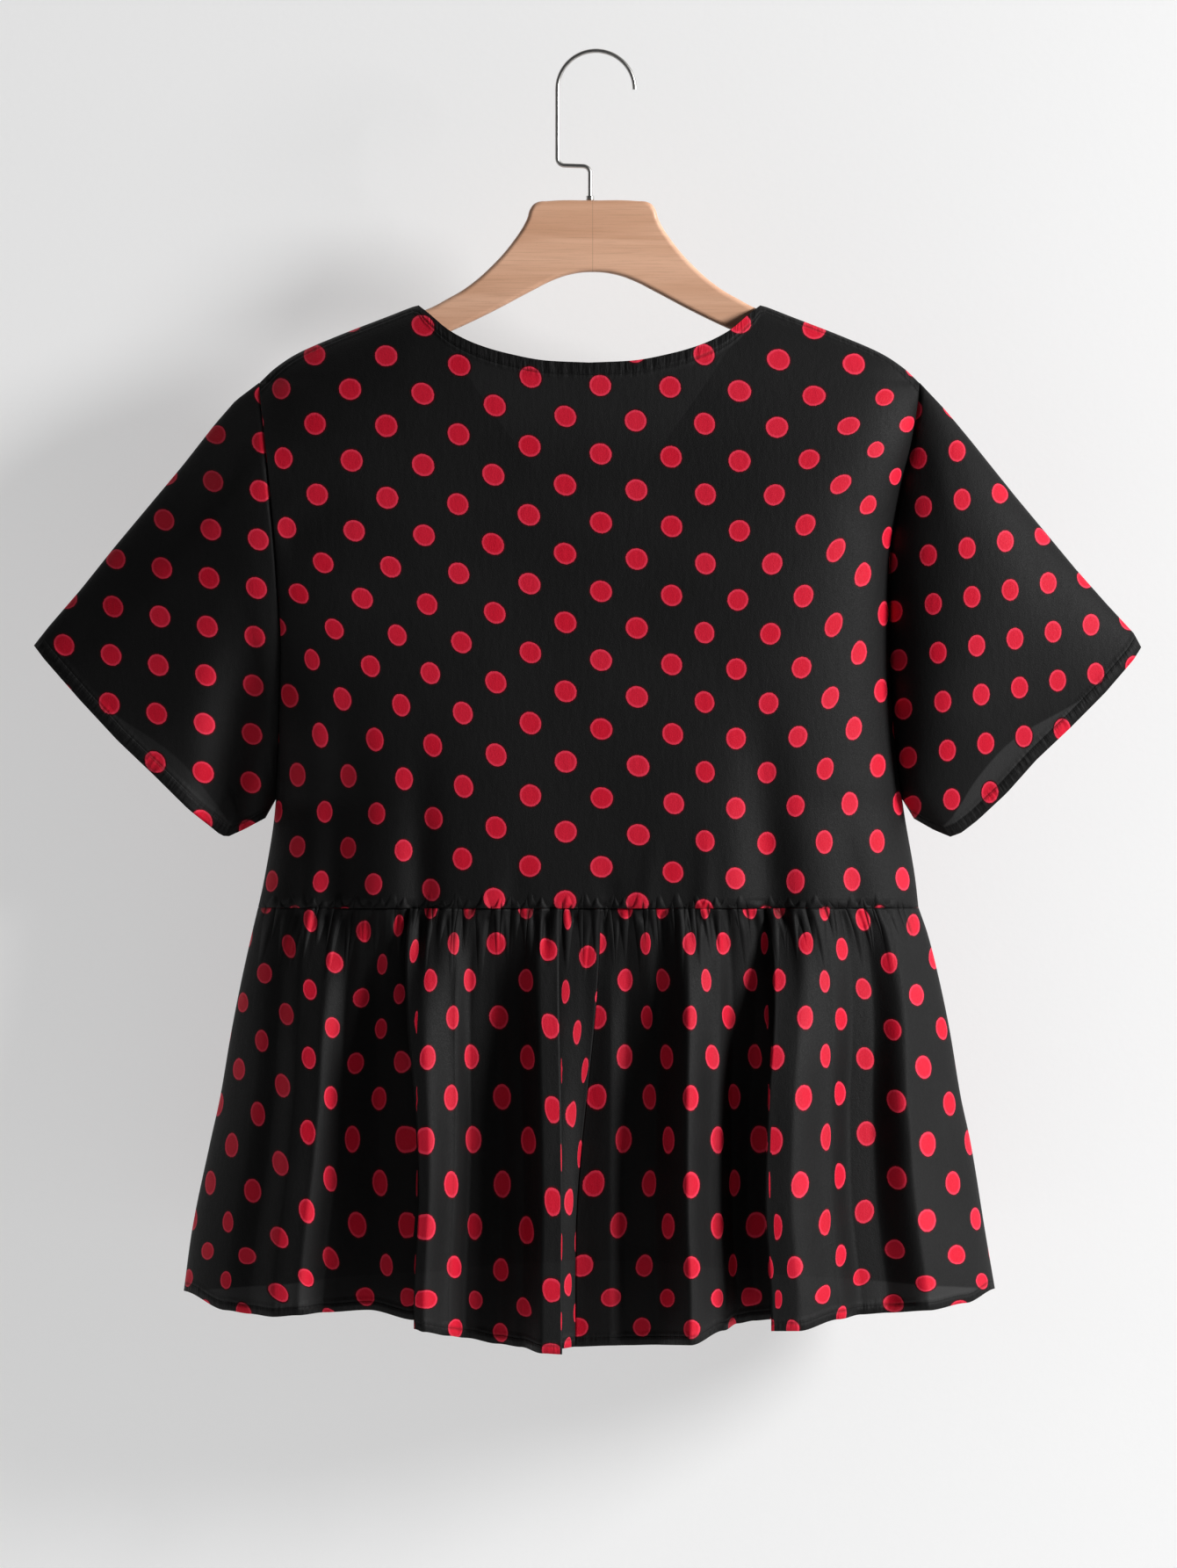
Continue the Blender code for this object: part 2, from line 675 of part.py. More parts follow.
def ferrule_part(parts):
    """The small collar round the wire, on top of the wood."""
    mesh = bpy.data.meshes.new("hook_ferrule")
    shape = bmesh.new()
    radius = (WIRE / 2 + HOLE_CLEARANCE + FERRULE_WALL) * MM
    bmesh.ops.create_cone(
        shape, cap_ends=False, segments=RING_SIDES, radius1=radius, radius2=radius, depth=FERRULE_HEIGHT * MM
    )
    shape.to_mesh(mesh)
    shape.free()
    mesh.shade_smooth()
    mesh.set_sharp_from_angle(angle=SHARP)
    ferrule = add_part(parts, "hook_ferrule", mesh, STEEL)
    ferrule.location = (STEM_X * MM, 0.0, (HANGER_TOP[0][1] + FERRULE_GAP + FERRULE_HEIGHT / 2) * MM)
    wall = ferrule.modifiers.new("Collar wall", "SOLIDIFY")
    wall.thickness = FERRULE_WALL * MM
    wall.offset = -1.0
    return ferrule


def main():
    clear_scene()
    parts = new_collection("peplum_top_on_hanger")
    cutters = new_collection("cutters")
    half_gap = SEAM_GAP / 2
    cloth_part(parts, "back_bodice", bodice_grid(BACK), CREPE)
    cloth_part(parts, "front_bodice", bodice_grid(FRONT), CREPE)
    cloth_part(parts, "neck_facing_back", facing_grid(BACK), FACING, FACING_CLOTH)
    cloth_part(parts, "neck_facing_front", facing_grid(FRONT), FACING, FACING_CLOTH)
    cloth_part(parts, "sleeve_left", sleeve_grid(LEFT_SLEEVE), CREPE, ring=True)
    cloth_part(parts, "sleeve_right", sleeve_grid(RIGHT_SLEEVE), CREPE, ring=True)
    cloth_part(parts, "peplum_back_left", peplum_grid(BACK, BACK_CREASES_LEFT, 0.0, half_gap), CREPE)
    cloth_part(parts, "peplum_back_right", peplum_grid(BACK, BACK_CREASES_RIGHT, half_gap, 0.0), CREPE)
    cloth_part(parts, "peplum_front", peplum_grid(FRONT, FRONT_CREASES), CREPE)
    hanger_part(parts, cutters)
    hook_part(parts)
    ferrule_part(parts)


main()
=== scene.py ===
"""Looks of the peplum top on its hanger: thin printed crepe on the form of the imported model.

Frame: X to the right for someone who looks at the back of the top, -Y towards them, Z up.
The origin is inside the bend of the hook. Every length below is in millimetres unless it says so.
Meshes are made in metres.
"""

from bisect import bisect_right
from collections import namedtuple
from itertools import accumulate, pairwise
from math import cos, exp, floor, hypot, pi, radians, sin, sqrt, tan

import bmesh
import bpy
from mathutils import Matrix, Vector


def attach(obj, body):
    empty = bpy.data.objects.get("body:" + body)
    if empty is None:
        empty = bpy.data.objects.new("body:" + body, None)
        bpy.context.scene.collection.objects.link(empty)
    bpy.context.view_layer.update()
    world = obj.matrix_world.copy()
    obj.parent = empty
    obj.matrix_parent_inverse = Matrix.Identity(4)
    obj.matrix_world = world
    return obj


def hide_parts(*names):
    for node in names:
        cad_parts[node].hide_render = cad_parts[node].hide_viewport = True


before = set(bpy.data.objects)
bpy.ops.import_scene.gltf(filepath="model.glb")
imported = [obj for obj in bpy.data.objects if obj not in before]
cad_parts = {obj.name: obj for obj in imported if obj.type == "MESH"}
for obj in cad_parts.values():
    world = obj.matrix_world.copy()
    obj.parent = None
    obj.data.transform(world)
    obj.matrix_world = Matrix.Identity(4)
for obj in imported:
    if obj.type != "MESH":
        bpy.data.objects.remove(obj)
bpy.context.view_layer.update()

MM = 0.001
BACK = -1
FRONT = 1
LEFT = -1
RIGHT = 1

# Cloth and seams. The cloth is thinner than its solids, and its panels meet more closely.
CLOTH = 0.6
SEAM_GAP = 0.06
WAIST_GAP = 0.2
MIDDLE_GAP = 0.03       # at the upright seam in the middle of the peplum
ARMHOLE_GAP = 0.4
ARMHOLE_TUCK = 0.9      # the sleeve starts this much behind the edge of the bodice
FACING_ROWS = (9, 5.4, 2.7, 0.5)    # distances below the neck edge
FACING_CLEARANCE = 0.5
FACING_REACH = 0.95     # share of the neck's width that it covers

# Heights and breadths of the bodice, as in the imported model
WAIST_Z = -583.2
SHOULDER_POINT_Z = -225
UNDERARM_Z = -509
HALF_SHOULDER = 225
HALF_NECK = 117
NECK_SHARE = HALF_NECK / HALF_SHOULDER
SHOULDER_ROUND = 200    # drop over which the shoulders round off
SIDE_ROOT = 1.6
SEAM_ROUND = 0.7

SHOULDER_RIDGE = (
    # distance from the middle, height
    (0, -148), (60, -155), (HALF_NECK, -172), (138, -180), (174, -194), (200, -205.5),
    (215, -215.5), (HALF_SHOULDER, SHOULDER_POINT_Z),
)
BACK_NECK = (
    (0, -212.3), (28, -211), (57, -205.6), (78, -199), (95.5, -189.9), (109, -178.5),
    (HALF_NECK, -172),
)
FRONT_NECK = ((0, -330), (35, -288), (70, -240), (95, -203), (110, -180.5), (HALF_NECK, -172))

BODICE_SECTIONS = (
    # height, half-width on each side, depth of back and front, how late the sides turn
    (WAIST_Z, 226, 224.5, 60, 60, 3.4),
    (-565, 222, 222.5, 60, 60, 3.4),
    (-517, 214.5, 214.5, 59, 61, 3.5),
    (-460, 211, 207.5, 57, 62, 4),
    (-406, 209.5, 204.5, 54, 62, 4.6),
    (-354, 212, 204, 51, 60, 5.6),
    (-300, 217, 211, 49, 57, 8),
    (-262, 221, 220, 48, 54, 11),
    (-224, 225, 225, 47, 52, 12),
    (-140, 225, 225, 46, 50, 12),
)

ARMHOLE_DEPTHS = (
    # share of the way down, distance of the seam from the middle plane on each side
    (0, 12, 10),
    (0.2, 41, 11),
    (0.48, 43, 9),
    (0.66, 38, 8),
    (0.82, 31, 7),
    (1, 12, 7),
)

PEPLUM_END_Z = -845
PEPLUM_SECTIONS = (
    # height, half-width on each side, depth of back and front
    (PEPLUM_END_Z, 276.8, 277, 76, 76),
    (-804, 271.2, 270, 75, 75),
    (-743, 258.6, 260, 72, 72),
    (-713, 252, 253.5, 70, 70),
    (-668, 244.3, 246, 67, 67),
    (-634, 237.6, 239, 64, 64),
    (-602, 230.5, 231, 61, 61),
    (WAIST_Z, 226, 224.5, 60, 60),
)

# Folds of the bodice and the sleeves: each is a line on the panel with a soft valley along it
Fold = namedtuple("Fold", "x z x_end z_end depth width")
FOLD_LEAD = 0.2         # a fold runs on past its deepest end by this share of its length
BODICE_FOLDS = {BACK: [Fold(*row) for row in (
    # from where it is deepest to where it fades out, depth (a ridge where negative), half-width
    (-171, -583, -165, -400, 8, 15), (-114, -583, -117, -450, 6, 11), (124, -583, 112, -415, 9, 16),
    (78, -583, 79, -510, -1.6, 5), (38, -583, 47, -515, -1.3, 4), (-52, -583, -48, -530, 1.4, 7),
    (12, -583, 10, -540, 1.2, 6), (180, -583, 172, -500, 3, 11), (-203, -583, -196, -520, 2.2, 8),
    (-205, -330, -150, -300, 1.6, 13), (203, -330, 160, -296, 1.6, 13),
)], FRONT: [Fold(*row) for row in (
    (-150, -583, -146, -430, 6, 18), (-64, -583, -60, -480, 4, 13), (60, -583, 52, -470, 5, 14),
    (158, -583, 150, -420, 6, 19), (-108, -583, -112, -520, -1.5, 6), (8, -583, 3, -530, 1.6, 7),
    (104, -583, 100, -515, -1.6, 6), (-190, -583, -186, -500, 2.6, 10), (200, -583, 192, -520, 2.4, 9),
    (-70, -250, -150, -330, 1.8, 15), (70, -250, 150, -330, 1.8, 15),
)]}

Crease = namedtuple("Crease", "x_waist x_hem out hem_z")
BACK_CREASES_LEFT = [Crease(*row) for row in (
    # where a crease starts and ends, how far it stands out (+) or in (-), its height at the hem
    (-226, -276.8, 0, -845), (-209, -246.8, 6, -856.5), (-200, -230.6, 3, -858.5),
    (-188, -214.4, 11, -860), (-172, -197.4, 7, -858.8), (-158, -180.4, -15, -857.5),
    (-141, -150, -23, -856), (-122, -117.6, -16, -862.5), (-121.5, -118.4, 15, -867),
    (-109.8, -112, 16, -869), (-88, -95.2, 0, -872.3), (-78, -84.2, -14, -874.3),
    (-62, -62, -17, -878.4), (-48, -46, -8, -880.2), (-33, -32, 14, -883.5), (-20.5, -18.6, 13, -884.2),
    (-21.5, -19.4, -12, -881.5), (7.2, -9.6, -18, -880.5),
)]
BACK_CREASES_RIGHT = [Crease(*row) for row in (
    BACK_CREASES_LEFT[-1], (14, 14.4, -15, -879.6), (24.6, 24.4, -20, -879.6), (44.4, 45.4, -15, -879),
    (64.2, 68.4, 15, -878), (82.4, 91, -6, -869), (92.4, 100, -22, -865), (108, 112, -25, -863.2),
    (122, 124.5, -18, -862), (120.5, 123, 15, -868.5), (136.6, 141.2, 17, -868.5),
    (157.4, 169, 0, -861.5), (170.4, 184, -15, -859), (183, 203, -15, -858), (202, 230, 11, -856),
    (214, 256, 1, -852), (224.5, 277, 0, -843.5),
)]
FRONT_CREASES = [Crease(*row) for row in (
    (-226, -276.8, 0, -845), (-196, -236, 9, -840.5), (-176, -212, -9, -838.5), (-152, -181, 11, -835),
    (-124, -146, -12, -832), (-97, -112, 12, -829), (-66, -78, -11, -826), (-40, -44, 10, -823.5),
    (-15, -16, -10, -822), (14, 19, 11, -822), (46, 54, -12, -823.5), (73, 88, 12, -826.5),
    (105, 124, -11, -829.5), (131, 154, 11, -832.5), (161, 191, -11, -836), (186, 222, 9, -838.5),
    (207, 252, -4, -841), (224.5, 277, 0, -843.5),
)]
GATHER_SHARE = 0.06     # share of a crease's depth at the waist
GATHER_RUN = 0.62       # share of the length over which it grows to its full depth
FLARE_RUN = 0.77
FITTED_RUN = 0.4        # share of the length over which the waist's form gives way to the peplum's
SIDE_CALM = 6
CREASE_ROUND = 0.6      # 0 is a sharp crease, 1 a round one
SIDE_CROWDING = 1.7     # how much closer the lines of cloth stand towards a side seam
ROW_CROWDING = 1.25     # the same for its rows towards the waist

# Small gathers that the waist seam draws up, and the short puckers it leaves in the bodice above
GATHER_PITCH = 9.4
GATHER_DEPTH = 3.2
GATHER_LENGTH = 30
GATHER_START = 0.2      # share of a gather that is there at the seam itself
GATHER_ONSET = 8
GATHER_WIDTH = 0.33     # in pitches
PUCKER_PITCH = 13
PUCKER_DEPTH = 0.8
PUCKER_LENGTH = 13
PEPLUM_SALT = 5         # so that the gathers below the seam differ from those above it
PUCKER_SHORTNESS = 4.5  # creases above the seam are this many times shorter than those below it

# Sleeves, as outlines seen from behind. The cuff runs from its outer tip to the underarm.
SleeveOutline = namedtuple("SleeveOutline", "side top cuff")
LEFT_SLEEVE = SleeveOutline(
    LEFT,
    ((-225, -225), (-241, -237), (-255, -253), (-277.5, -281.7), (-323.5, -336.6), (-347, -366),
     (-369.3, -391.8), (-379.2, -404.4)),
    ((-379.2, -404.4), (-372, -413.7), (-346.8, -442.2), (-321.6, -469.2), (-296.4, -493.2),
     (-273.6, -516), (-252, -533.6), (-247.5, -535.2), (-234, -529), (-221.5, -522)),
)
RIGHT_SLEEVE = SleeveOutline(
    RIGHT,
    ((225, -225), (242.4, -243.4), (258.6, -262.8), (290.4, -302.4), (311.4, -327.6),
     (331.8, -352.2), (352.6, -375.6), (371.8, -396.3), (376.7, -405.6)),
    ((376.7, -405.6), (371.4, -414), (351.6, -436.8), (327.4, -461), (304.7, -482.4), (284.4, -505.2),
     (264.5, -523.8), (253.8, -532), (246.4, -534.8), (235, -530), (222, -522.5)),
)
SLEEVE_FOLDS = {LEFT: [Fold(*row) for row in (
    (-249, -536, -229, -360, 27, 17), (-226, -250, -245, -238, -1.6, 6),
    (-258, -520, -300, -440, 1.6, 9),
)], RIGHT: [Fold(*row) for row in (
    (230, -262, 256, -350, -2.6, 8), (262, -520, 300, -455, 1.5, 9), (300, -330, 330, -420, 1.2, 12),
)]}
CUFF_DEPTH = {LEFT: 19, RIGHT: 16}
SLEEVE_HUMP = {LEFT: 3, RIGHT: 23}
HUMP_PLACE = 0.7
FOLD_ONSET = 0.2        # shares of the way to the cuff over which folds start and the tuck ends
TUCK_RUN = 0.125
LEAST_OPEN = 2          # half of the least width of the opening of a flat sleeve
CUFF_LIFT = {LEFT: 20, RIGHT: 24}
LIFT_CROWN = 1.4
LIFT_PLACE = 1.4

# The print: a quincunx of dots, charted in half-steps across (columns) and down (rows)
HALF_STEP = 23.5
DOT_RADIUS = 7.3
DOT_RIM_WIDTH = 1
GRAIN_HEIGHTS = (-231, -324, -417, -515, -582)
BACK_GRAIN = (
    # the columns' numbers, then their places across the back bodice at each of the five heights
    (-11, -10, -9, -8, -7, -6, -5, -4, -2, 0, 2, 4, 5, 6, 7, 8, 9, 10, 11),
    (-257, -234, -210.7, -187.5, -162.8, -138.5, -113.3, -88.5, -40, 7.4, 54.9, 101.8, 129.1, 152.8, 180.7,
     201.8, 222, 238, 255),
    (-250, -228, -206.1, -183.9, -159.7, -137, -112.2, -89.5, -41.1, 7.9, 55.9, 101.8, 125, 146.6, 168.3,
     188.4, 204.9, 222, 240),
    (-221, -204, -188.1, -170.5, -148.3, -129.3, -108.1, -86.5, -40, 7.9, 55.9, 99.7, 122.4, 144.1, 165.2,
     182.8, 199.8, 215, 231),
    (-216, -198, -179.8, -163.3, -144.2, -125.6, -105.5, -85.4, -40, 8.4, 57.4, 99.2, 120.4, 139.9, 159.5,
     176.6, 195.7, 210, 225),
    (-218, -200.4, -183.9, -165.9, -147.3, -127.7, -107.6, -87.5, -40.6, 7.9, 56.4, 98.7, 120.4, 139.9,
     160, 179.2, 197.2, 216, 234),
)
BACK_DRIFT = (
    # the columns' numbers, then how far their dots sink below the middle's own rows at each height
    (-9, -6, -4, -2, 0, 2, 4, 6, 8),
    (-22, -20.6, -14, -5.7, 0, 1, 3.6, 7.2, 9),
    (-20, -16.5, -12.4, -5.2, 0, 2.6, 5.6, 1.5, -14),
    (-24, -17, -12, -5.2, 0, 2.9, 6, 5, -4.6),
    (-14, -12, -7, -1.3, 0, 3.8, 7, 5.4, 4.1),
    (-13, -10, -4, 0, 0, 3.5, 8.2, 11.9, 10.3),
)
BACK_FIRST_ROW_Z = -228
BACK_ROW_STEP = 23.36

PEPLUM_GRAIN_HEIGHTS = (-620, -740, -850)
PEPLUM_GRAIN_LEFT = (
    (-8, -7, -6, -5, -4, -3, -2, -1, 0, 1, 1.25, 2.75, 3, 4, 5, 6, 7, 8, 8.3, 9.5, 10, 12, 13),
    (-262, -246, -234, -220.5, -204, -189.8, -173.6, -152.5, -140.6, -129.6, -126.6, -111, -108, -91.5,
     -82.2, -63.2, -42.4, -29.3, -22, -10, -1, 36, 60),
    (-280, -256, -243.2, -226, -209.5, -190.6, -176, -161.2, -143, -125.5, -117, -116.2, -110.3, -94,
     -79.2, -58.5, -40.9, -24.9, -19.6, -18.8, -12, 0, 20),
    (-290, -263, -247, -236, -210, -192.3, -176, -151, -136, -124, -118.6, -117.8, -110, -90.5, -77.5, -60,
     -44.3, -26, -19.3, -18.5, -14, -5, 14),
)
PEPLUM_GRAIN_RIGHT = (
    (-1, 0, 1, 2, 3, 4, 5, 6, 7, 7.25, 8.1, 8.9, 9, 10, 11, 12, 13, 14, 15, 16, 17),
    (-20, 5, 24.7, 38.4, 48.5, 68.8, 78.3, 90.3, 109.6, 113, 119.5, 127, 128, 147.7, 159.5, 171.3, 185.8,
     203.9, 221, 236, 250),
    (-24, 5.6, 22.8, 41.8, 53.6, 68.4, 87.1, 98.4, 115.3, 121, 121.8, 122.4, 124.5, 143.8, 160.8, 168.7,
     188.4, 209, 230, 246, 262),
    (-36, -8, 14.2, 36, 53, 68.9, 87, 96.7, 107, 116, 124.5, 126, 127.5, 136, 158.8, 170.5, 183, 207,
     227.6, 252, 272),
)
PEPLUM_DRIFT_LEFT = (
    (-6, -5, -3, -1, 1, 3, 7, 8, 10, 13),
    (-4, -3, 9, 16, 12, 0, 0, 4, 9, 4),
    (-25, -19, -5.6, 0, 0, 0, 0, 9, 12, 0),
    (-32, -31, -15, 0, 0, 0, 6, 16, 13, 4),
)
PEPLUM_DRIFT_RIGHT = (
    (0, 10, 12, 13, 14, 15, 17),
    (0, 0, 4, 8, 14, 12, 10),
    (0, 0, -4, -4, 0, 4, 4),
    (0, 0, -8, -15, -16, -11, -11),
)
PEPLUM_DOT_ROWS = (
    # height, row
    (-895, 11.3), (-867, 10), (-847, 9), (-826, 8), (-798, 7), (-770, 6), (-740, 5), (-711, 4),
    (-684, 3), (-657, 2), (-632, 1), (-607, 0), (-583, -1), (-559, -2),
)
SleevePrint = namedtuple("SleevePrint", "x z along down")
SLEEVE_PRINTS = {
    # one dot's place, and the steps to its two nearest neighbours
    LEFT: SleevePrint(-257.4, -325.8, (32.4, -6.9), (-1.2, -33)),
    RIGHT: SleevePrint(283.2, -333.6, (26.2, 4.8), (3.2, -33.2)),
}

# Hanger and hook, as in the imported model
HANGER_X = 2.2
HANGER_THICK = 12
HANGER_EDGE = 3
HANGER_SEAT = 2.3
HANGER_TOP = (
    (0, -100.4), (30, -100.8), (39, -102.2), (42.5, -106), (45, -113.5), (54, -128),
    (69, -145.3), (87, -160.5), (99, -167.5), (112, -174.3),
)
HANGER_SEATED = (132, 152, 172, 188)
HANGER_TIP = ((195, -208.2), (199.5, -213.5), (199.5, -220), (194, -224.5))
HANGER_UNDER = (
    (176, -219), (150, -209.5), (120, -199), (96.5, -189.5), (68, -176), (41.5, -162),
    (28, -155.2), (15, -150.8), (0, -149.2),
)
WIRE = 3
STEM_X = 0.5
STEM_SUNK = 12
BEND_X = 4.5
BEND_Z = -24.5
BEND_RADIUS = 26.4
KNEE_Z = -77
KNEE_RADIUS = 5
KNEE_RISE = 0.8
BEND_STEPS = 48
CORNER_STEPS = 12
FERRULE_HEIGHT = 3
FERRULE_WALL = 0.9
FERRULE_GAP = 0.3
HOLE_CLEARANCE = 0.35
FERRULE_SIDES = 48
SHARP_ANGLE = radians(40)

# Fineness of the cloth meshes
BODICE_ROWS = 84
BODICE_COLUMNS = 150
SLEEVE_ROWS = 44
SLEEVE_RING = 120
PEPLUM_ROWS = 64
PEPLUM_PITCH = 1.4      # between lines of cloth at the waist
NEARBY = 0.01
CHARTED_SHARE = 0.93    # of a half-width: beyond it the print follows the cloth round to the side
SLEEVE_TURN = SLEEVE_RING // 16     # points of a ring that turn round the sleeve's edge
TWO_LAYERS = 50         # a distance from the next edge at which there are always two layers

# Stitched hems: distance of the stitch line from the edge
NECK_HEM = 8.5
CUFF_HEM = 8
PEPLUM_HEM = 5.5

# Painted light from behind: how pale the cloth is painted where it hangs single, and where that fades
NECK_BACKLIGHT = 0.22
NECK_FADE_Z = -300
NECK_FADE = 60
HEM_BACKLIGHT = 0.12
HEM_FADE_X = 170
HEM_FADE = 50
CUFF_BACKLIGHT = {LEFT: 0.45, RIGHT: 1}

# Camera and light, in metres
CAMERA_DISTANCE = 8
VIEW_HEIGHT = 1.071     # height of what the camera sees at the garment's plane
VIEW_CENTRE = (-0.0006, -0.4989)
SENSOR = 36
WALL_X = 3
WALL_Y = 0.1
WALL_TOP = 2
FLOOR_Z = -1.35
FLOOR_END_Y = -0.9
COVE = 0.25
COVE_STEPS = 12
LIGHT_AIM = Vector((0, 0, -0.5))


class Curve:
    """A smooth curve through rows of (key, value) that never swings past its own rows."""

    def __init__(self, rows):
        self.keys, self.values = zip(*sorted(rows))
        spans = [b - a for a, b in pairwise(self.keys)]
        rises = [(b - a) / span for (a, b), span in zip(pairwise(self.values), spans)]
        self.slopes = [rises[0]]
        for before, after in pairwise(rises):
            same_way = before * after > 0
            self.slopes.append(2 * before * after / (before + after) if same_way else 0)
        self.slopes.append(rises[-1])

    def __call__(self, key):
        if key <= self.keys[0]:
            return self.values[0]
        if key >= self.keys[-1]:
            return self.values[-1]
        i = bisect_right(self.keys, key) - 1
        span = self.keys[i + 1] - self.keys[i]
        t = (key - self.keys[i]) / span
        start = (1 + 2 * t) * (1 - t) ** 2 * self.values[i]
        end = t * t * (3 - 2 * t) * self.values[i + 1]
        lean = t * (1 - t) ** 2 * span * self.slopes[i] - t * t * (1 - t) * span * self.slopes[i + 1]
        return start + end + lean


def curves(rows):
    """A curve for each further column of a table against its first one."""
    keys, *columns = zip(*rows)
    return [Curve(zip(keys, values)) for values in columns]


def ease(t):
    t = min(1, max(0, t))
    return t * t * (3 - 2 * t)


def mix(a, b, t):
    return a + (b - a) * t


def uneven(i, salt):
    """A value from 0 to 1 that looks random but is the same on every run."""
    wave = sin(i * 12.9898 + salt * 78.233) * 43758.5453
    return wave - floor(wave)


RIDGE = Curve(SHOULDER_RIDGE)
NECKLINE = {BACK: Curve(BACK_NECK), FRONT: Curve(FRONT_NECK)}
BODICE = curves(BODICE_SECTIONS)
BODICE_WIDTH = {LEFT: BODICE[0], RIGHT: BODICE[1]}
BODICE_DEPTH = {BACK: BODICE[2], FRONT: BODICE[3]}
BODICE_TURN = BODICE[4]
PEPLUM = curves(PEPLUM_SECTIONS)
PEPLUM_WIDTH = {LEFT: PEPLUM[0], RIGHT: PEPLUM[1]}
PEPLUM_DEPTH = {BACK: PEPLUM[2], FRONT: PEPLUM[3]}
ARMHOLE = dict(zip((LEFT, RIGHT), curves(ARMHOLE_DEPTHS)))
FRONT_HEM = Curve([(crease.x_hem, crease.hem_z) for crease in FRONT_CREASES])


def side_of(x):
    return LEFT if x < 0 else RIGHT


# The form of the bodice

def armhole_depth(side, share):
    """Distance of the armhole seam from the middle plane, 0 at the shoulder and the underarm."""
    if share <= 0 or share >= 1:
        return 0
    return ARMHOLE[side](share) * (2 * sqrt(share * (1 - share))) ** SEAM_ROUND


def side_turn(across, power):
    """1 over the middle of a panel, falling to 0 where it turns round to its side seam."""
    return max(0, 1 - min(1, abs(across)) ** power) ** (1 / SIDE_ROOT)


def bodice_x(across, z):
    return across * BODICE_WIDTH[side_of(across)](z)


def fold_depth(folds, x, z):
    """How far the folds draw the cloth in at a place on a panel."""
    total = 0
    for fold in folds:
        line_x = fold.x_end - fold.x
        line_z = fold.z_end - fold.z
        length = line_x * line_x + line_z * line_z
        run = ((x - fold.x) * line_x + (z - fold.z) * line_z) / length
        if run > 1 or run < -FOLD_LEAD:
            continue
        aside = ((x - fold.x) * line_z - (z - fold.z) * line_x) / sqrt(length) / fold.width
        fade = ease(1 - run) * ease(1 + run / FOLD_LEAD)
        total += fold.depth * fade * exp(-aside * aside)
    return total


def seam_pull(x, away, pitch, depth, length, salt):
    """Small uneven gathers beside a seam that fade out with the distance from it."""
    if away > 2 * length:
        return 0
    place = x / pitch + 40
    total = 0
    for i in (floor(place), floor(place) + 1):
        middle = i + 0.5 * (uneven(i, salt) - 0.5)
        reach = length * (0.4 + 1.5 * uneven(i, salt + 1) ** 2)
        aside = (place - middle) / GATHER_WIDTH
        strength = 0.35 + uneven(i, salt + 2)
        total += depth * strength * exp(-aside * aside) * ease(1 - away / reach)
    return total


def bodice_depth(face, across, z):
    """Distance of the back or front bodice from the middle plane."""
    x = bodice_x(across, z)
    drop = max(0, RIDGE(abs(x)) - z)
    rounding = sqrt(1 - (1 - min(1, drop / SHOULDER_ROUND)) ** 2)
    share = (SHOULDER_POINT_Z - z) / (SHOULDER_POINT_Z - UNDERARM_Z)
    edge = armhole_depth(side_of(across), share)
    middle = BODICE_DEPTH[face](z) * rounding
    turn = side_turn(across, BODICE_TURN(z))
    depth = edge + (middle - edge) * turn
    depth -= fold_depth(BODICE_FOLDS[face], x, z) * min(1, 2 * turn)
    depth -= seam_pull(x, z - WAIST_Z, PUCKER_PITCH, PUCKER_DEPTH, PUCKER_LENGTH, face) * turn
    return depth


def bodice_point(face, across, height):
    """Point of a bodice panel. across is -1 to 1, height is 0 at the waist and 1 at the top edge."""
    reach = abs(across) * HALF_SHOULDER
    top = NECKLINE[face](reach) if reach < HALF_NECK else RIDGE(reach)
    z = mix(WAIST_Z, top, height)
    depth = bodice_depth(face, across, z)
    return Vector((bodice_x(across, z), face * (depth + SEAM_GAP / 2), z))


def bodice_columns():
    """Places across a bodice, closer together where it turns to its sides."""
    return [sin(pi / 2 * mix(-1, 1, i / BODICE_COLUMNS)) for i in range(BODICE_COLUMNS + 1)]


def bodice_grid(face):
    heights = [sin(pi / 2 * i / BODICE_ROWS) for i in range(BODICE_ROWS + 1)]
    return [[bodice_point(face, across, height) for across in bodice_columns()] for height in heights]


def facing_grid(face):
    """The neck facing: the bodice's own points along the neck, moved in behind it."""
    inset = CLOTH + FACING_CLEARANCE
    columns = [across for across in bodice_columns() if abs(across) < FACING_REACH * NECK_SHARE]
    rows = []
    for drop in FACING_ROWS:
        row = []
        for across in columns:
            reach = abs(across) * HALF_SHOULDER
            slope = NECKLINE[face](reach + 0.5) - NECKLINE[face](reach - 0.5)
            height = 1 - drop * hypot(1, slope) / (NECKLINE[face](reach) - WAIST_Z)
            here = bodice_point(face, across, height)
            sideways = bodice_point(face, across + NEARBY, height) - here
            upwards = bodice_point(face, across, height - NEARBY) - here
            normal = sideways.cross(upwards).normalized()
            inwards = normal if normal.y * face < 0 else -normal
            row.append(here + inwards * inset)
        rows.append(row)
    return rows


# The form of the peplum

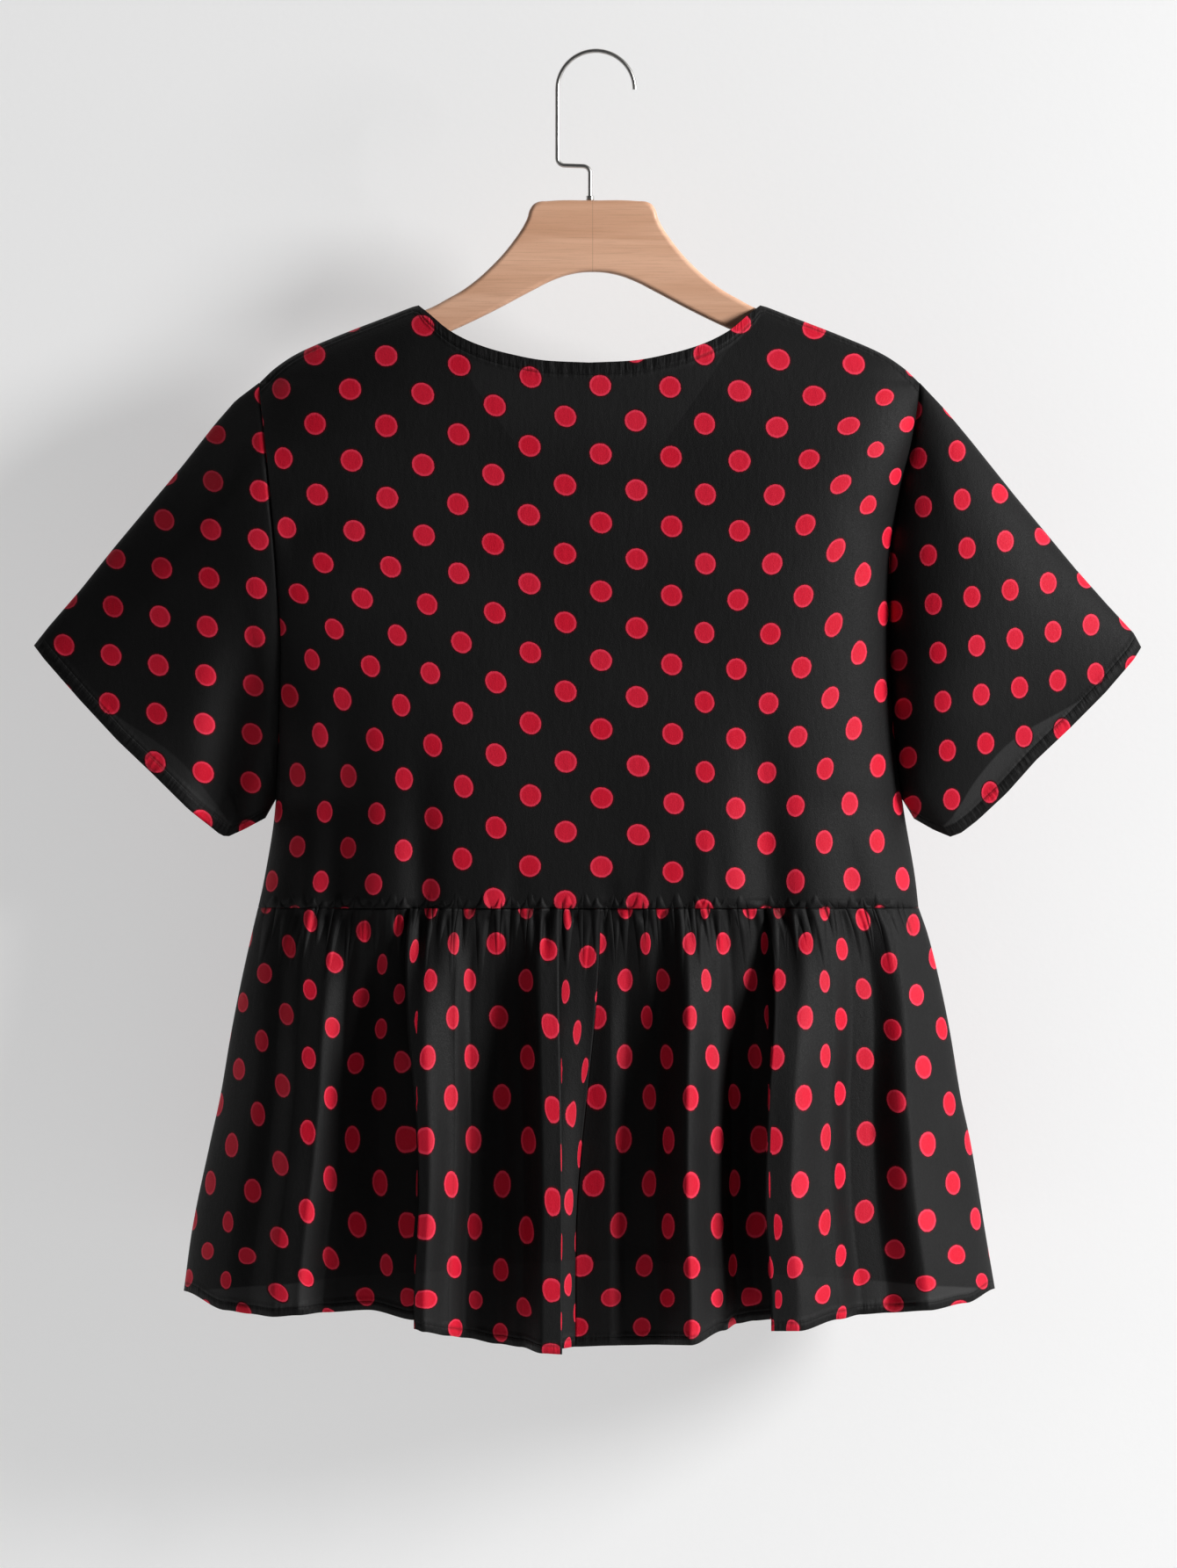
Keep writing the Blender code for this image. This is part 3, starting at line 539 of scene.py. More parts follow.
def peplum_point(face, line, down):
    """Point of the peplum on the line of cloth that runs from x_waist to x_hem."""
    z = mix(WAIST_Z - WAIST_GAP, line.hem_z, down)
    side = side_of(line.x_hem)
    waist_share = line.x_waist / PEPLUM_WIDTH[side](WAIST_Z)
    hem_share = line.x_hem / PEPLUM_WIDTH[side](PEPLUM_END_Z)
    across = mix(waist_share, hem_share, ease(down / FLARE_RUN))
    x = across * PEPLUM_WIDTH[side](z)
    growth = mix(1, GATHER_SHARE, max(0, 1 - down / GATHER_RUN) ** 2)
    near_waist = 1 - ease(down / FITTED_RUN)
    plain = PEPLUM_DEPTH[face](z) * side_turn(across, BODICE_TURN(WAIST_Z))
    fitted = bodice_depth(face, across, WAIST_Z)
    calm = side_turn(across, SIDE_CALM)
    depth = mix(plain, fitted, near_waist) + line.out * growth * calm
    started = min(1, GATHER_START + (WAIST_Z - z) / GATHER_ONSET)
    depth -= started * calm * seam_pull(
        line.x_waist, WAIST_Z - z, GATHER_PITCH, GATHER_DEPTH, GATHER_LENGTH, PEPLUM_SALT + face
    )
    return Vector((x, face * (depth + SEAM_GAP / 2), z))


def crease_lines(creases):
    """Lines of cloth from waist to hem: the creases, and curved stretches between them."""
    lines = []
    for a, b in pairwise(creases):
        span = max(abs(b.x_waist - a.x_waist), abs(b.x_hem - a.x_hem), abs(b.out - a.out) / 2)
        steps = max(3, round(span / PEPLUM_PITCH))
        for i in range(steps):
            t = i / steps
            # Lines crowd towards a crease of no depth, as at the side seams
            if a.out == 0:
                t = t ** SIDE_CROWDING
            if b.out == 0:
                t = 1 - (1 - t) ** SIDE_CROWDING
            lines.append(Crease(
                mix(a.x_waist, b.x_waist, t),
                mix(a.x_hem, b.x_hem, t),
                mix(a.out, b.out, mix(t, ease(t), CREASE_ROUND)),
                mix(a.hem_z, b.hem_z, ease(t)),
            ))
    lines.append(creases[-1])
    return lines


def peplum_grid(face, creases, trim_start=0, trim_end=0):
    """Rows of the peplum from hem to waist. A trimmed end leaves the gap of an upright seam."""
    lines = crease_lines(creases)
    rows = []
    for i in range(PEPLUM_ROWS + 1):
        down = (1 - i / PEPLUM_ROWS) ** ROW_CROWDING
        row = [peplum_point(face, line, down) for line in lines]
        row[0].x += trim_start
        row[-1].x -= trim_end
        rows.append(row)
    return rows


# The form of the sleeves

def along(points, share):
    """Point at a share of a polyline's length."""
    vectors = [Vector(p) for p in points]
    spans = [(b - a).length for a, b in pairwise(vectors)]
    left = share * sum(spans)
    for (a, b), span in zip(pairwise(vectors), spans):
        if left <= span:
            return a.lerp(b, left / span)
        left -= span
    return vectors[-1]


def cuff_lift(side, share):
    """How much shorter the front of a sleeve is than its back."""
    return CUFF_LIFT[side] * max(0, sin(pi * share ** LIFT_PLACE)) ** LIFT_CROWN


def sleeve_outline_point(sleeve, face, share, out):
    """Flat place on a sleeve: share runs from its top to the underarm, out from armhole to cuff."""
    def armhole_place(half_width, z):
        return Vector((sleeve.side * (half_width + ARMHOLE_GAP), z))

    width = BODICE_WIDTH[sleeve.side]
    start_z = mix(SHOULDER_POINT_Z, UNDERARM_Z, share)
    start = armhole_place(width(start_z), start_z)
    underarm = armhole_place(width(UNDERARM_Z), UNDERARM_Z)
    shoulder = armhole_place(HALF_SHOULDER, SHOULDER_POINT_Z)
    tip = Vector(sleeve.top[-1])
    inner = Vector(sleeve.cuff[-1])
    end = along(sleeve.cuff, share)
    if face == FRONT:
        end = end + (start - end).normalized() * cuff_lift(sleeve.side, share)
    upper = along(sleeve.top, out)
    upper.x += sleeve.side * ARMHOLE_GAP * (1 - out)
    lower = underarm.lerp(inner, out)
    ruled = start.lerp(end, out) + upper.lerp(lower, share)
    corners = shoulder.lerp(underarm, share).lerp(tip.lerp(inner, share), out)
    return ruled - corners


def sleeve_grid(sleeve):
    """Closed rings of a sleeve from its armhole to its cuff."""
    rings = []
    for i in range(SLEEVE_ROWS + 1):
        out = i / SLEEVE_ROWS
        ring = []
        for j in range(SLEEVE_RING):
            angle = 2 * pi * j / SLEEVE_RING
            share = (1 - cos(angle)) / 2
            face = BACK if angle < pi else FRONT
            place = sleeve_outline_point(sleeve, face, share, out)
            open_share = abs(sin(angle))
            hump = SLEEVE_HUMP[sleeve.side] * open_share * sin(pi * out ** HUMP_PLACE)
            cuff = CUFF_DEPTH[sleeve.side] * open_share
            depth = mix(armhole_depth(sleeve.side, share), cuff, out) + hump
            near_armhole = min(1, out / FOLD_ONSET)
            depth -= fold_depth(SLEEVE_FOLDS[sleeve.side], place.x, place.y) * near_armhole * open_share
            depth -= ARMHOLE_TUCK * open_share * max(0, 1 - out / TUCK_RUN)
            depth = max(depth, LEAST_OPEN * open_share)
            ring.append(Vector((place.x, face * depth, place.y)))
        rings.append(ring)
    return rings


# The print, laid out on each panel in half-steps

class Chart:
    """A value charted at several columns and heights, smooth in between."""

    def __init__(self, heights, table, column_of_place):
        columns, *levels = table
        self.heights = heights
        self.levels = [
            Curve(zip(level, columns) if column_of_place else zip(columns, level)) for level in levels
        ]

    def __call__(self, key, z):
        return Curve([(height, level(key)) for height, level in zip(self.heights, self.levels)])(z)


def charted_print(rows, widths, heights, grain, drift, row_of_height):
    """Print coordinates of a panel from its charts. Beyond its charted part they follow the cloth."""
    grain = Chart(heights, grain, True)
    drift = Chart(heights, drift, False)
    prints = []
    for row in rows:
        line = []
        charted = []
        for i, point in enumerate(row):
            column = grain(point.x, point.z)
            line.append(Vector((column, row_of_height(point.z + drift(column, point.z)))))
            if abs(point.x) < CHARTED_SHARE * widths[side_of(point.x)](point.z):
                charted.append(i)
        for i in range(charted[0] - 1, -1, -1):
            line[i] = Vector((line[i + 1].x - (row[i] - row[i + 1]).length / HALF_STEP, line[i].y))
        for i in range(charted[-1] + 1, len(row)):
            line[i] = Vector((line[i - 1].x + (row[i] - row[i - 1]).length / HALF_STEP, line[i].y))
        prints.append(line)
    return prints


def even_print(rows):
    """Print coordinates of a panel whose print hangs straight and follows the cloth round."""
    middle = min(range(len(rows[0])), key=lambda i: abs(rows[0][i].x))
    prints = []
    for row in rows:
        steps = [hypot(b.x - a.x, b.y - a.y) for a, b in pairwise(row)]
        runs = list(accumulate(steps, initial=0))
        columns = [0.5 + (run - runs[middle]) / HALF_STEP for run in runs]
        prints.append([(column, -point.z / HALF_STEP) for column, point in zip(columns, row)])
    return prints


def sleeve_print(sleeve, rings):
    """Print coordinates of a sleeve: as seen on its back, then unfolded round its top to its front."""
    chart = SLEEVE_PRINTS[sleeve.side]
    fold = (Vector(sleeve.top[-1]) - Vector(sleeve.top[0])).normalized()
    origin = Vector((chart.x, chart.z))
    a = Vector(chart.along)
    b = Vector(chart.down)
    size = a.x * b.y - a.y * b.x
    flat_end = SLEEVE_RING // 2 - SLEEVE_TURN
    prints = []
    for ring in rings:
        places = [None] * SLEEVE_RING
        for i in range(SLEEVE_TURN, flat_end + 1):
            places[i] = Vector((ring[i].x, ring[i].z))

        def step(i, j, mirrored):
            move = Vector((ring[j].x - ring[i].x, ring[j].z - ring[i].z))
            way = move.normalized() if move.length > 0 else fold
            if mirrored:
                way = 2 * way.dot(fold) * fold - way
            return places[i] + way * (ring[j] - ring[i]).length

        for i in range(flat_end, SLEEVE_RING // 2):
            places[i + 1] = step(i, i + 1, False)
        for i in range(SLEEVE_TURN, 0, -1):
            places[i - 1] = step(i, i - 1, False)
        for i in range(SLEEVE_RING, SLEEVE_RING // 2 + 1, -1):
            places[i - 1] = step(i % SLEEVE_RING, i - 1, True)
        line = []
        for place in places:
            away = place - origin
            m = (away.x * b.y - away.y * b.x) / size
            n = (a.x * away.y - a.y * away.x) / size
            line.append((m + n, m - n))
        prints.append(line)
    return prints


def edge_distances(rows, width, finished_last=True):
    """Run along a finished edge, and distance from its stitch line, for each point of a grid."""
    order = rows[::-1] if finished_last else rows
    steps = [(b - a).length for a, b in pairwise(order[0])]
    run = list(accumulate(steps, initial=0))
    away = [-width] * len(run)
    marks = [list(zip(run, away))]
    for before, row in pairwise(order):
        away = [far + (b - a).length for far, a, b in zip(away, before, row)]
        marks.append(list(zip(run, away)))
    return marks[::-1] if finished_last else marks


def past_neck(point):
    """How far a place on the back lies below the front's neck edge, and how strongly light from behind is
    painted there.
    """
    below = NECKLINE[FRONT](abs(point.x)) - point.z if abs(point.x) < HALF_NECK else TWO_LAYERS
    return below, NECK_BACKLIGHT * ease((point.z - NECK_FADE_Z) / NECK_FADE)


def past_hem(point):
    """How far a place on the back lies above the front's hem, and how strongly light from behind is
    painted there.
    """
    above = point.z - FRONT_HEM(point.x)
    return above, mix(HEM_BACKLIGHT, 1, ease((abs(point.x) - HEM_FADE_X) / HEM_FADE))


def distances_past_cuff(sleeve, rings):
    """How far a sleeve's back lies inside the cuff edge of its front, and how strongly light from behind
    is painted there.
    """
    distances = []
    for ring in rings:
        line = []
        for j, point in enumerate(ring):
            angle = 2 * pi * j / SLEEVE_RING
            single = (point - rings[-1][j]).length - cuff_lift(sleeve.side, (1 - cos(angle)) / 2)
            line.append((single if angle < pi else TWO_LAYERS, CUFF_BACKLIGHT[sleeve.side]))
        distances.append(line)
    return distances


def gathered_places(rows, seam, reach=1):
    """Place along a gathered seam, and distance from it times reach, for each point of a grid."""
    start = rows[seam]
    return [[(a.x, abs(b.z - a.z) * reach) for a, b in zip(start, row)] for row in rows]


# Meshes

def placed(name, data):
    """An object of some data, in the scene."""
    made = bpy.data.objects.new(name, data)
    bpy.context.scene.collection.objects.link(made)
    return made


def smooth_mesh(name, shape, finish):
    """A smooth mesh of one material. The shape it is made from is freed."""
    mesh = bpy.data.meshes.new(name)
    shape.to_mesh(mesh)
    shape.free()
    mesh.shade_smooth()
    mesh.materials.append(finish)
    return mesh


UNMAPPED = {
    # the UV maps of a cloth, and what each holds where a piece doesn't fill it
    "Grain": (0, 0),
    "Edge": (0, 1000),
    "Layers": (TWO_LAYERS, 0),
    "Gathers": (0, 1000),
}


def cloth_piece(name, rows, maps, finish, ring=False):
    """A thin cloth on a grid of points. Its UV maps hold what its material needs to know."""
    surface = bmesh.new()
    channels = {title: surface.loops.layers.uv.new(title) for title in UNMAPPED}
    grid = [[surface.verts.new(point * MM) for point in row] for row in rows]
    count = len(rows[0])
    for k in range(len(rows) - 1):
        for i in range(count if ring else count - 1):
            j = (i + 1) % count
            corners = ((k, i), (k, j), (k + 1, j), (k + 1, i))
            face = surface.faces.new([grid[row][spot] for row, spot in corners])
            for loop, (row, spot) in zip(face.loops, corners):
                for title, channel in channels.items():
                    loop[channel].uv = maps[title][row][spot] if title in maps else UNMAPPED[title]
    bmesh.ops.recalc_face_normals(surface, faces=surface.faces)
    piece = placed(name, smooth_mesh(name, surface, finish))
    wall = piece.modifiers.new("Cloth", "SOLIDIFY")
    wall.thickness = CLOTH * MM
    wall.offset = 0
    return piece


def hanger_piece(finish):
    """The wooden hanger. Its outline runs anticlockwise from the middle of its top edge."""
    seated = [(d, RIDGE(d + HANGER_X) - HANGER_SEAT) for d in HANGER_SEATED]
    half = [*HANGER_TOP, *seated, *HANGER_TIP, *HANGER_UNDER]
    outline = [(-d, z) for d, z in half] + half[-2:0:-1]
    curve = bpy.data.curves.new("hanger", "CURVE")
    curve.dimensions = "2D"
    curve.fill_mode = "BOTH"
    curve.extrude = (HANGER_THICK / 2 - HANGER_EDGE) * MM
    curve.bevel_depth = HANGER_EDGE * MM
    curve.bevel_resolution = 5
    curve.offset = -HANGER_EDGE * MM
    curve.resolution_u = 6
    spline = curve.splines.new("BEZIER")
    spline.bezier_points.add(len(outline) - 1)
    for point, (x, z) in zip(spline.bezier_points, outline):
        point.co = (x * MM, z * MM, 0)
        point.handle_left_type = "AUTO"
        point.handle_right_type = "AUTO"
    spline.use_cyclic_u = True
    blank = placed("hanger_blank", curve)
    blank.rotation_euler.x = pi / 2
    blank.location.x = HANGER_X * MM
    bpy.context.view_layer.update()
    mesh = bpy.data.meshes.new_from_object(blank.evaluated_get(bpy.context.evaluated_depsgraph_get()))
    mesh.transform(blank.matrix_world)
    bpy.data.objects.remove(blank, do_unlink=True)
    mesh.materials.clear()
    mesh.materials.append(finish)
    mesh.shade_smooth()
    mesh.set_sharp_from_angle(angle=SHARP_ANGLE)
    return placed("hanger", mesh)


def corner(before, at, after, radius):
    """Points of an arc that rounds one corner of a path."""
    back = (before - at).normalized()
    on = (after - at).normalized()
    half = back.angle(on) / 2
    reach = radius / tan(half)
    centre = at + (back + on).normalized() * radius / sin(half)
    start = (at + back * reach - centre).normalized()
    end = (at + on * reach - centre).normalized()
    return [centre + start.slerp(end, i / CORNER_STEPS) * radius for i in range(CORNER_STEPS + 1)]


def hook_path():
    shank_x = BEND_X - BEND_RADIUS
    foot = Vector((STEM_X, HANGER_TOP[0][1] - STEM_SUNK))
    low_knee = Vector((STEM_X, KNEE_Z))
    high_knee = Vector((shank_x, KNEE_Z + KNEE_RISE))
    shank_top = Vector((shank_x, BEND_Z))
    path = [foot]
    path += corner(foot, low_knee, high_knee, KNEE_RADIUS)
    path += corner(low_knee, high_knee, shank_top, KNEE_RADIUS)
    for i in range(BEND_STEPS + 1):
        angle = pi * (1 - i / BEND_STEPS)
        x = BEND_X + BEND_RADIUS * cos(angle)
        path.append(Vector((x, BEND_Z + BEND_RADIUS * sin(angle))))
    return path


def hook_piece(finish):
    curve = bpy.data.curves.new("hook", "CURVE")
    curve.dimensions = "3D"
    curve.bevel_depth = WIRE / 2 * MM
    curve.bevel_resolution = 8
    curve.use_fill_caps = True
    path = hook_path()
    spline = curve.splines.new("POLY")
    spline.points.add(len(path) - 1)
    for point, place in zip(spline.points, path):
        point.co = (place.x * MM, 0, place.y * MM, 1)
    curve.materials.append(finish)
    return placed("hook", curve)


def ferrule_piece(finish):
    """A small turned collar with rounded edges round the wire."""
    inner = WIRE / 2 + HOLE_CLEARANCE
    outer = inner + FERRULE_WALL
    low = HANGER_TOP[0][1] + FERRULE_GAP
    high = low + FERRULE_HEIGHT
    profile = (
        (inner, low), (outer - 0.2, low), (outer, low + 0.3), (outer - 0.15, low + 1.3),
        (outer, high - 0.5), (outer - 0.25, high - 0.1), (inner + 0.2, high), (inner, high - 0.2),
    )
    shape = bmesh.new()
    rings = []
    for i in range(FERRULE_SIDES):
        angle = 2 * pi * i / FERRULE_SIDES
        rings.append([
            shape.verts.new(Vector((STEM_X + r * cos(angle), r * sin(angle), z)) * MM)
            for r, z in profile
        ])
    for i, here in enumerate(rings):
        there = rings[(i + 1) % FERRULE_SIDES]
        for k in range(len(profile)):
            j = (k + 1) % len(profile)
            shape.faces.new((here[k], there[k], there[j], here[j]))
    bmesh.ops.recalc_face_normals(shape, faces=shape.faces)
    mesh = smooth_mesh("ferrule", shape, finish)
    mesh.set_sharp_from_angle(angle=SHARP_ANGLE)
    return placed("ferrule", mesh)


# Materials

class Shader:
    """A material's node tree, built up by short calls that return sockets. Its places are in metres."""

    def __init__(self, name):
        self.material = bpy.data.materials.new(name)
        self.material.use_nodes = True
        self.tree = self.material.node_tree
        self.surface = self.tree.nodes["Principled BSDF"]
        self.place = self.node("ShaderNodeTexCoord").outputs["Object"]

    def node(self, kind, values=(), **settings):
        """A node with these settings, and values or sockets for its first or its named inputs."""
        made = self.tree.nodes.new(kind)
        for key, value in settings.items():
            setattr(made, key, value)
        for key, value in values.items() if isinstance(values, dict) else enumerate(values):
            self.plug(made.inputs[key], value)
        return made

    def plug(self, socket, value):
        if isinstance(value, bpy.types.NodeSocket):
            self.tree.links.new(value, socket)
        else:
            socket.default_value = value

    def math(self, operation, *values, clamp=False):
        return self.node("ShaderNodeMath", values, operation=operation, use_clamp=clamp).outputs[0]

    def times(self, a, b, clamp=False):
        return self.math("MULTIPLY", a, b, clamp=clamp)

    def minus(self, a, b):
        return self.math("SUBTRACT", a, b)

    def times_plus(self, a, b, c, clamp=False):
        return self.math("MULTIPLY_ADD", a, b, c, clamp=clamp)

    def size(self, a):
        return self.math("ABSOLUTE", a)

    def step(self, value, low, high, out_low=0, out_high=1):
        """Smooth change from out_low to out_high as value goes from low to high."""
        values = (value, low, high, out_low, out_high)
        return self.node("ShaderNodeMapRange", values, interpolation_type="SMOOTHSTEP").outputs["Result"]

    def blend(self, share, a, b):
        values = {"Factor": share, "A": a, "B": b}
        return self.node("ShaderNodeMix", values, data_type="RGBA").outputs["Result"]

    def split(self, vector):
        return self.node("ShaderNodeSeparateXYZ", [vector]).outputs

    def uv(self, name):
        """The two values of a UV map."""
        return self.split(self.node("ShaderNodeUVMap", uv_map=name).outputs["UV"])[:2]

    def join(self, x, y):
        return self.node("ShaderNodeCombineXYZ", (x, y)).outputs[0]

    def stretched(self, factors):
        """The place on the object, times a factor along each axis."""
        return self.node("ShaderNodeVectorMath", (self.place, factors), operation="MULTIPLY").outputs[0]

    def noise(self, vector, scale, detail=2, roughness=0.5, distortion=0):
        return self.node("ShaderNodeTexNoise", {
            "Vector": vector, "Scale": scale, "Detail": detail, "Roughness": roughness,
            "Distortion": distortion,
        }).outputs["Fac"]

    def bump(self, height, distance, strength=1, **before):
        """distance is in metres: the height of a value of 1. before is an earlier Normal."""
        values = {"Height": height, "Distance": distance, "Strength": strength, **before}
        return self.node("ShaderNodeBump", values).outputs["Normal"]

    def finished(self, looks):
        """The material, with these values or sockets on its surface."""
        for name, value in looks.items():
            self.plug(self.surface.inputs[name], value)
        return self.material


def colour(r, g, b):
    return (r, g, b, 1)


CREPE_BLACK = colour(0.0036, 0.0035, 0.0036)
CREPE_WORN = colour(0.0058, 0.0056, 0.0057)
# painted light: the paler tone of cloth that hangs in one layer with light coming through it
CREPE_PAINTED_BACKLIGHT = colour(0.0230, 0.0228, 0.0230)
DOT_RED = colour(0.58, 0.0018, 0.021)
DOT_PALE = colour(0.84, 0.045, 0.095)
DOT_RIM = colour(0.026, 0.0005, 0.0016)
BEECH_PALE = colour(0.88, 0.52, 0.345)
BEECH_WARM = colour(0.71, 0.385, 0.235)
BEECH_FIBRE = colour(0.52, 0.27, 0.165)
BEECH_FLECK = colour(0.30, 0.14, 0.08)
BEECH_JOINT = colour(0.33, 0.17, 0.10)
STEEL_DARK = colour(0.48, 0.47, 0.455)
STEEL_PALE = colour(0.56, 0.55, 0.53)
PAINT_DARK = colour(0.39, 0.39, 0.39)
PAINT_PALE = colour(0.41, 0.41, 0.41)
STITCH_PITCH = 2.7
STITCH_SHARE = 0.68     # of the pitch that shows as thread
DOT_RAGGED = 0.6        # how uneven the edge of a dot is
# painted shade for the groove that a stitch line draws in
STITCH_GROOVE_SHADE = colour(0.004, 0.004, 0.004)
# painted shade in the creases of the gathers
GATHER_CREASE_SHADE = colour(0.0015, 0.0015, 0.0015)


def dotted(look, black, pebble):
    """Red dots with a paler edge and a dark rim, on a quincunx in the half-steps of the Grain map."""
    u, v = look.uv("Grain")
    m = look.times(look.math("ADD", u, v), 0.5)
    n = look.times(look.minus(u, v), 0.5)
    m_dot = look.math("ROUND", m)
    n_dot = look.math("ROUND", n)
    dm = look.minus(m, m_dot)
    dn = look.minus(n, n_dot)
    squares = look.times_plus(dm, dm, look.times(dn, dn))
    reach = look.times(look.math("SQRT", squares), HALF_STEP * sqrt(2))
    ragged = look.noise(look.place, 620, detail=1)
    reach = look.times_plus(look.minus(ragged, 0.5), DOT_RAGGED, reach)
    spot = {"Vector": look.join(m_dot, n_dot)}
    tone = look.node("ShaderNodeTexWhiteNoise", spot, noise_dimensions="2D")
    pale = look.times(look.step(reach, DOT_RADIUS - 2, DOT_RADIUS - 0.8), 0.55)
    pale = look.times_plus(tone.outputs["Value"], 0.16, pale)
    pale = look.times_plus(pebble, 0.3, look.minus(pale, 0.12), clamp=True)
    red = look.blend(pale, DOT_RED, DOT_PALE)
    rimmed = look.blend(look.step(reach, DOT_RADIUS - 0.25, DOT_RADIUS + 0.15), red, DOT_RIM)
    rim_end = DOT_RADIUS + DOT_RIM_WIDTH
    return look.blend(look.step(reach, rim_end + 0.15, rim_end - 0.15), black, rimmed)


def crepe_material(name, has_dots):
    """Black crepe with a stitched hem and gathers at a seam, painted shade in the gathers' creases and the
    stitched groove, and painted light from behind where it hangs in one layer.
    """
    look = Shader(name)
    pebble = look.noise(look.place, 1150, detail=3, roughness=0.62, distortion=0.6)
    crinkle = look.noise(look.stretched((260, 260, 90)), 1, detail=3, roughness=0.55)
    cloud = look.noise(look.place, 14, detail=3)
    run, away = look.uv("Edge")
    layers, backlight_share = look.uv("Layers")
    # painted light from behind: the cloth is painted paler where it hangs in one layer
    single = look.times(look.step(layers, 0.8, -0.8), look.step(away, -0.3, 0.5))
    tone = look.blend(look.step(cloud, 0.35, 0.7), CREPE_BLACK, CREPE_WORN)
    tone = look.blend(look.times(single, backlight_share), tone, CREPE_PAINTED_BACKLIGHT)
    if has_dots:
        tone = dotted(look, tone, pebble)

    # The turned hem, its stitches, and the cloth they draw in, with painted shade along that drawn-in
    # groove
    band = look.step(away, 0.5, -0.5)
    from_line = look.size(away)
    in_stitch = look.math("FRACT", look.times(run, 1 / STITCH_PITCH))
    in_stitch = look.math("LESS_THAN", in_stitch, STITCH_SHARE)
    stitch = look.times(in_stitch, look.step(from_line, 0.42, 0.12))
    drawn = look.step(from_line, 2.2, 0.2)
    # painted shade: the cloth is darker in the groove the stitches draw in
    tone = look.blend(look.times(drawn, 0.35), tone, STITCH_GROOVE_SHADE)

    # Fine gathers that start at a seam and fade out at uneven distances from it, with painted shade along
    # their creases
    seam_run, off_seam = look.uv("Gathers")
    wave = look.join(look.times(seam_run, 0.075), look.times(off_seam, 0.005))
    wave = look.noise(wave, 1, detail=1)
    reach = look.noise(look.join(look.times(seam_run, 0.16), 7), 1, detail=0)
    reach = look.step(reach, 0.3, 0.75, 9, 52)
    gather = look.step(look.math("DIVIDE", off_seam, reach), 1, 0)
    fold_line = look.times(look.size(look.minus(wave, 0.5)), 5, clamp=True)
    # painted shade: darker along the gathers' creases
    gap = look.times(look.step(fold_line, 0.22, 0), gather)
    tone = look.blend(look.times(gap, 0.8), tone, GATHER_CREASE_SHADE)

    drawn_up = look.join(look.times(run, 0.24), look.times(away, 0.04))
    drawn_up = look.times(look.noise(drawn_up, 1), look.step(away, 5, -1))
    relief = look.times_plus(drawn_up, 1.5, look.times(band, 0.45))
    relief = look.times_plus(drawn, -0.35, relief)
    relief = look.times_plus(stitch, 0.18, relief)
    normal = look.bump(relief, 0.001)
    normal = look.bump(look.times(look.math("SQRT", fold_line), gather), 0.0026, Normal=normal)
    normal = look.bump(crinkle, 0.0011, 0.2, Normal=normal)
    normal = look.bump(pebble, 0.00042, 0.45, Normal=normal)
    return look.finished({
        "Base Color": tone,
        "Roughness": look.step(pebble, 0.2, 0.8, 0.72, 0.56),
        "Normal": normal,
        "Specular IOR Level": 0.17,
        "Sheen Weight": 0.005,
        "Sheen Roughness": 0.45,
    })


def beech_material():
    look = Shader("pale_beech")
    fibres = look.noise(look.stretched((26, 500, 900)), 1, detail=4, roughness=0.6)
    figure = look.noise(look.stretched((5, 60, 70)), 1, detail=3, distortion=0.8)
    spots = {"Vector": look.stretched((300, 700, 1300)), "Scale": 1}
    flecks = look.node("ShaderNodeTexVoronoi", spots, feature="F1")
    fleck = look.step(flecks.outputs["Distance"], 0.16, 0.06)
    from_middle = look.size(look.minus(look.split(look.place)[0], HANGER_X * MM))
    joint = look.step(from_middle, 0.0004, 0.0001)
    tone = look.blend(look.step(figure, 0.3, 0.7), BEECH_PALE, BEECH_WARM)
    for mark, dark in (
        (look.step(fibres, 0.45, 0.7), BEECH_FIBRE), (fleck, BEECH_FLECK), (joint, BEECH_JOINT)
    ):
        tone = look.blend(look.times(mark, 0.35), tone, dark)
    return look.finished({
        "Base Color": tone,
        "Roughness": look.step(fibres, 0.3, 0.7, 0.38, 0.52),
        "Normal": look.bump(fibres, 0.00012, 0.6),
        "Coat Weight": 0.12,
        "Coat Roughness": 0.25,
    })


def steel_material():
    look = Shader("plated_steel")
    drawn = look.noise(look.stretched((2600, 2600, 120)), 1, detail=2)
    cloud = look.noise(look.place, 90, detail=3)
    return look.finished({
        "Base Color": look.blend(cloud, STEEL_DARK, STEEL_PALE),
        "Metallic": 1,
        "Roughness": look.step(drawn, 0.3, 0.7, 0.28, 0.36),
        "Normal": look.bump(drawn, 0.00001, 0.4),
    })


def wall_material():
    """Pale paint that is seen only from its painted side, so that it hides nothing from behind."""
    look = Shader("pale_paint")
    grit = look.noise(look.place, 220, detail=3)
    cloud = look.noise(look.place, 3, detail=2)
    paint = look.finished({
        "Base Color": look.blend(cloud, PAINT_DARK, PAINT_PALE),
        "Emission Color": colour(1, 1, 1),
        "Emission Strength": 0.5,
        "Roughness": 0.9,
        "Normal": look.bump(grit, 0.0004, 0.3),
    })
    side = look.node("ShaderNodeNewGeometry").outputs["Backfacing"]
    clear = look.node("ShaderNodeBsdfTransparent").outputs[0]
    either = look.node("ShaderNodeMixShader", (side, look.surface.outputs[0], clear))
    look.plug(look.tree.nodes["Material Output"].inputs["Surface"], either.outputs[0])
    return paint


# The stage, the light and the camera

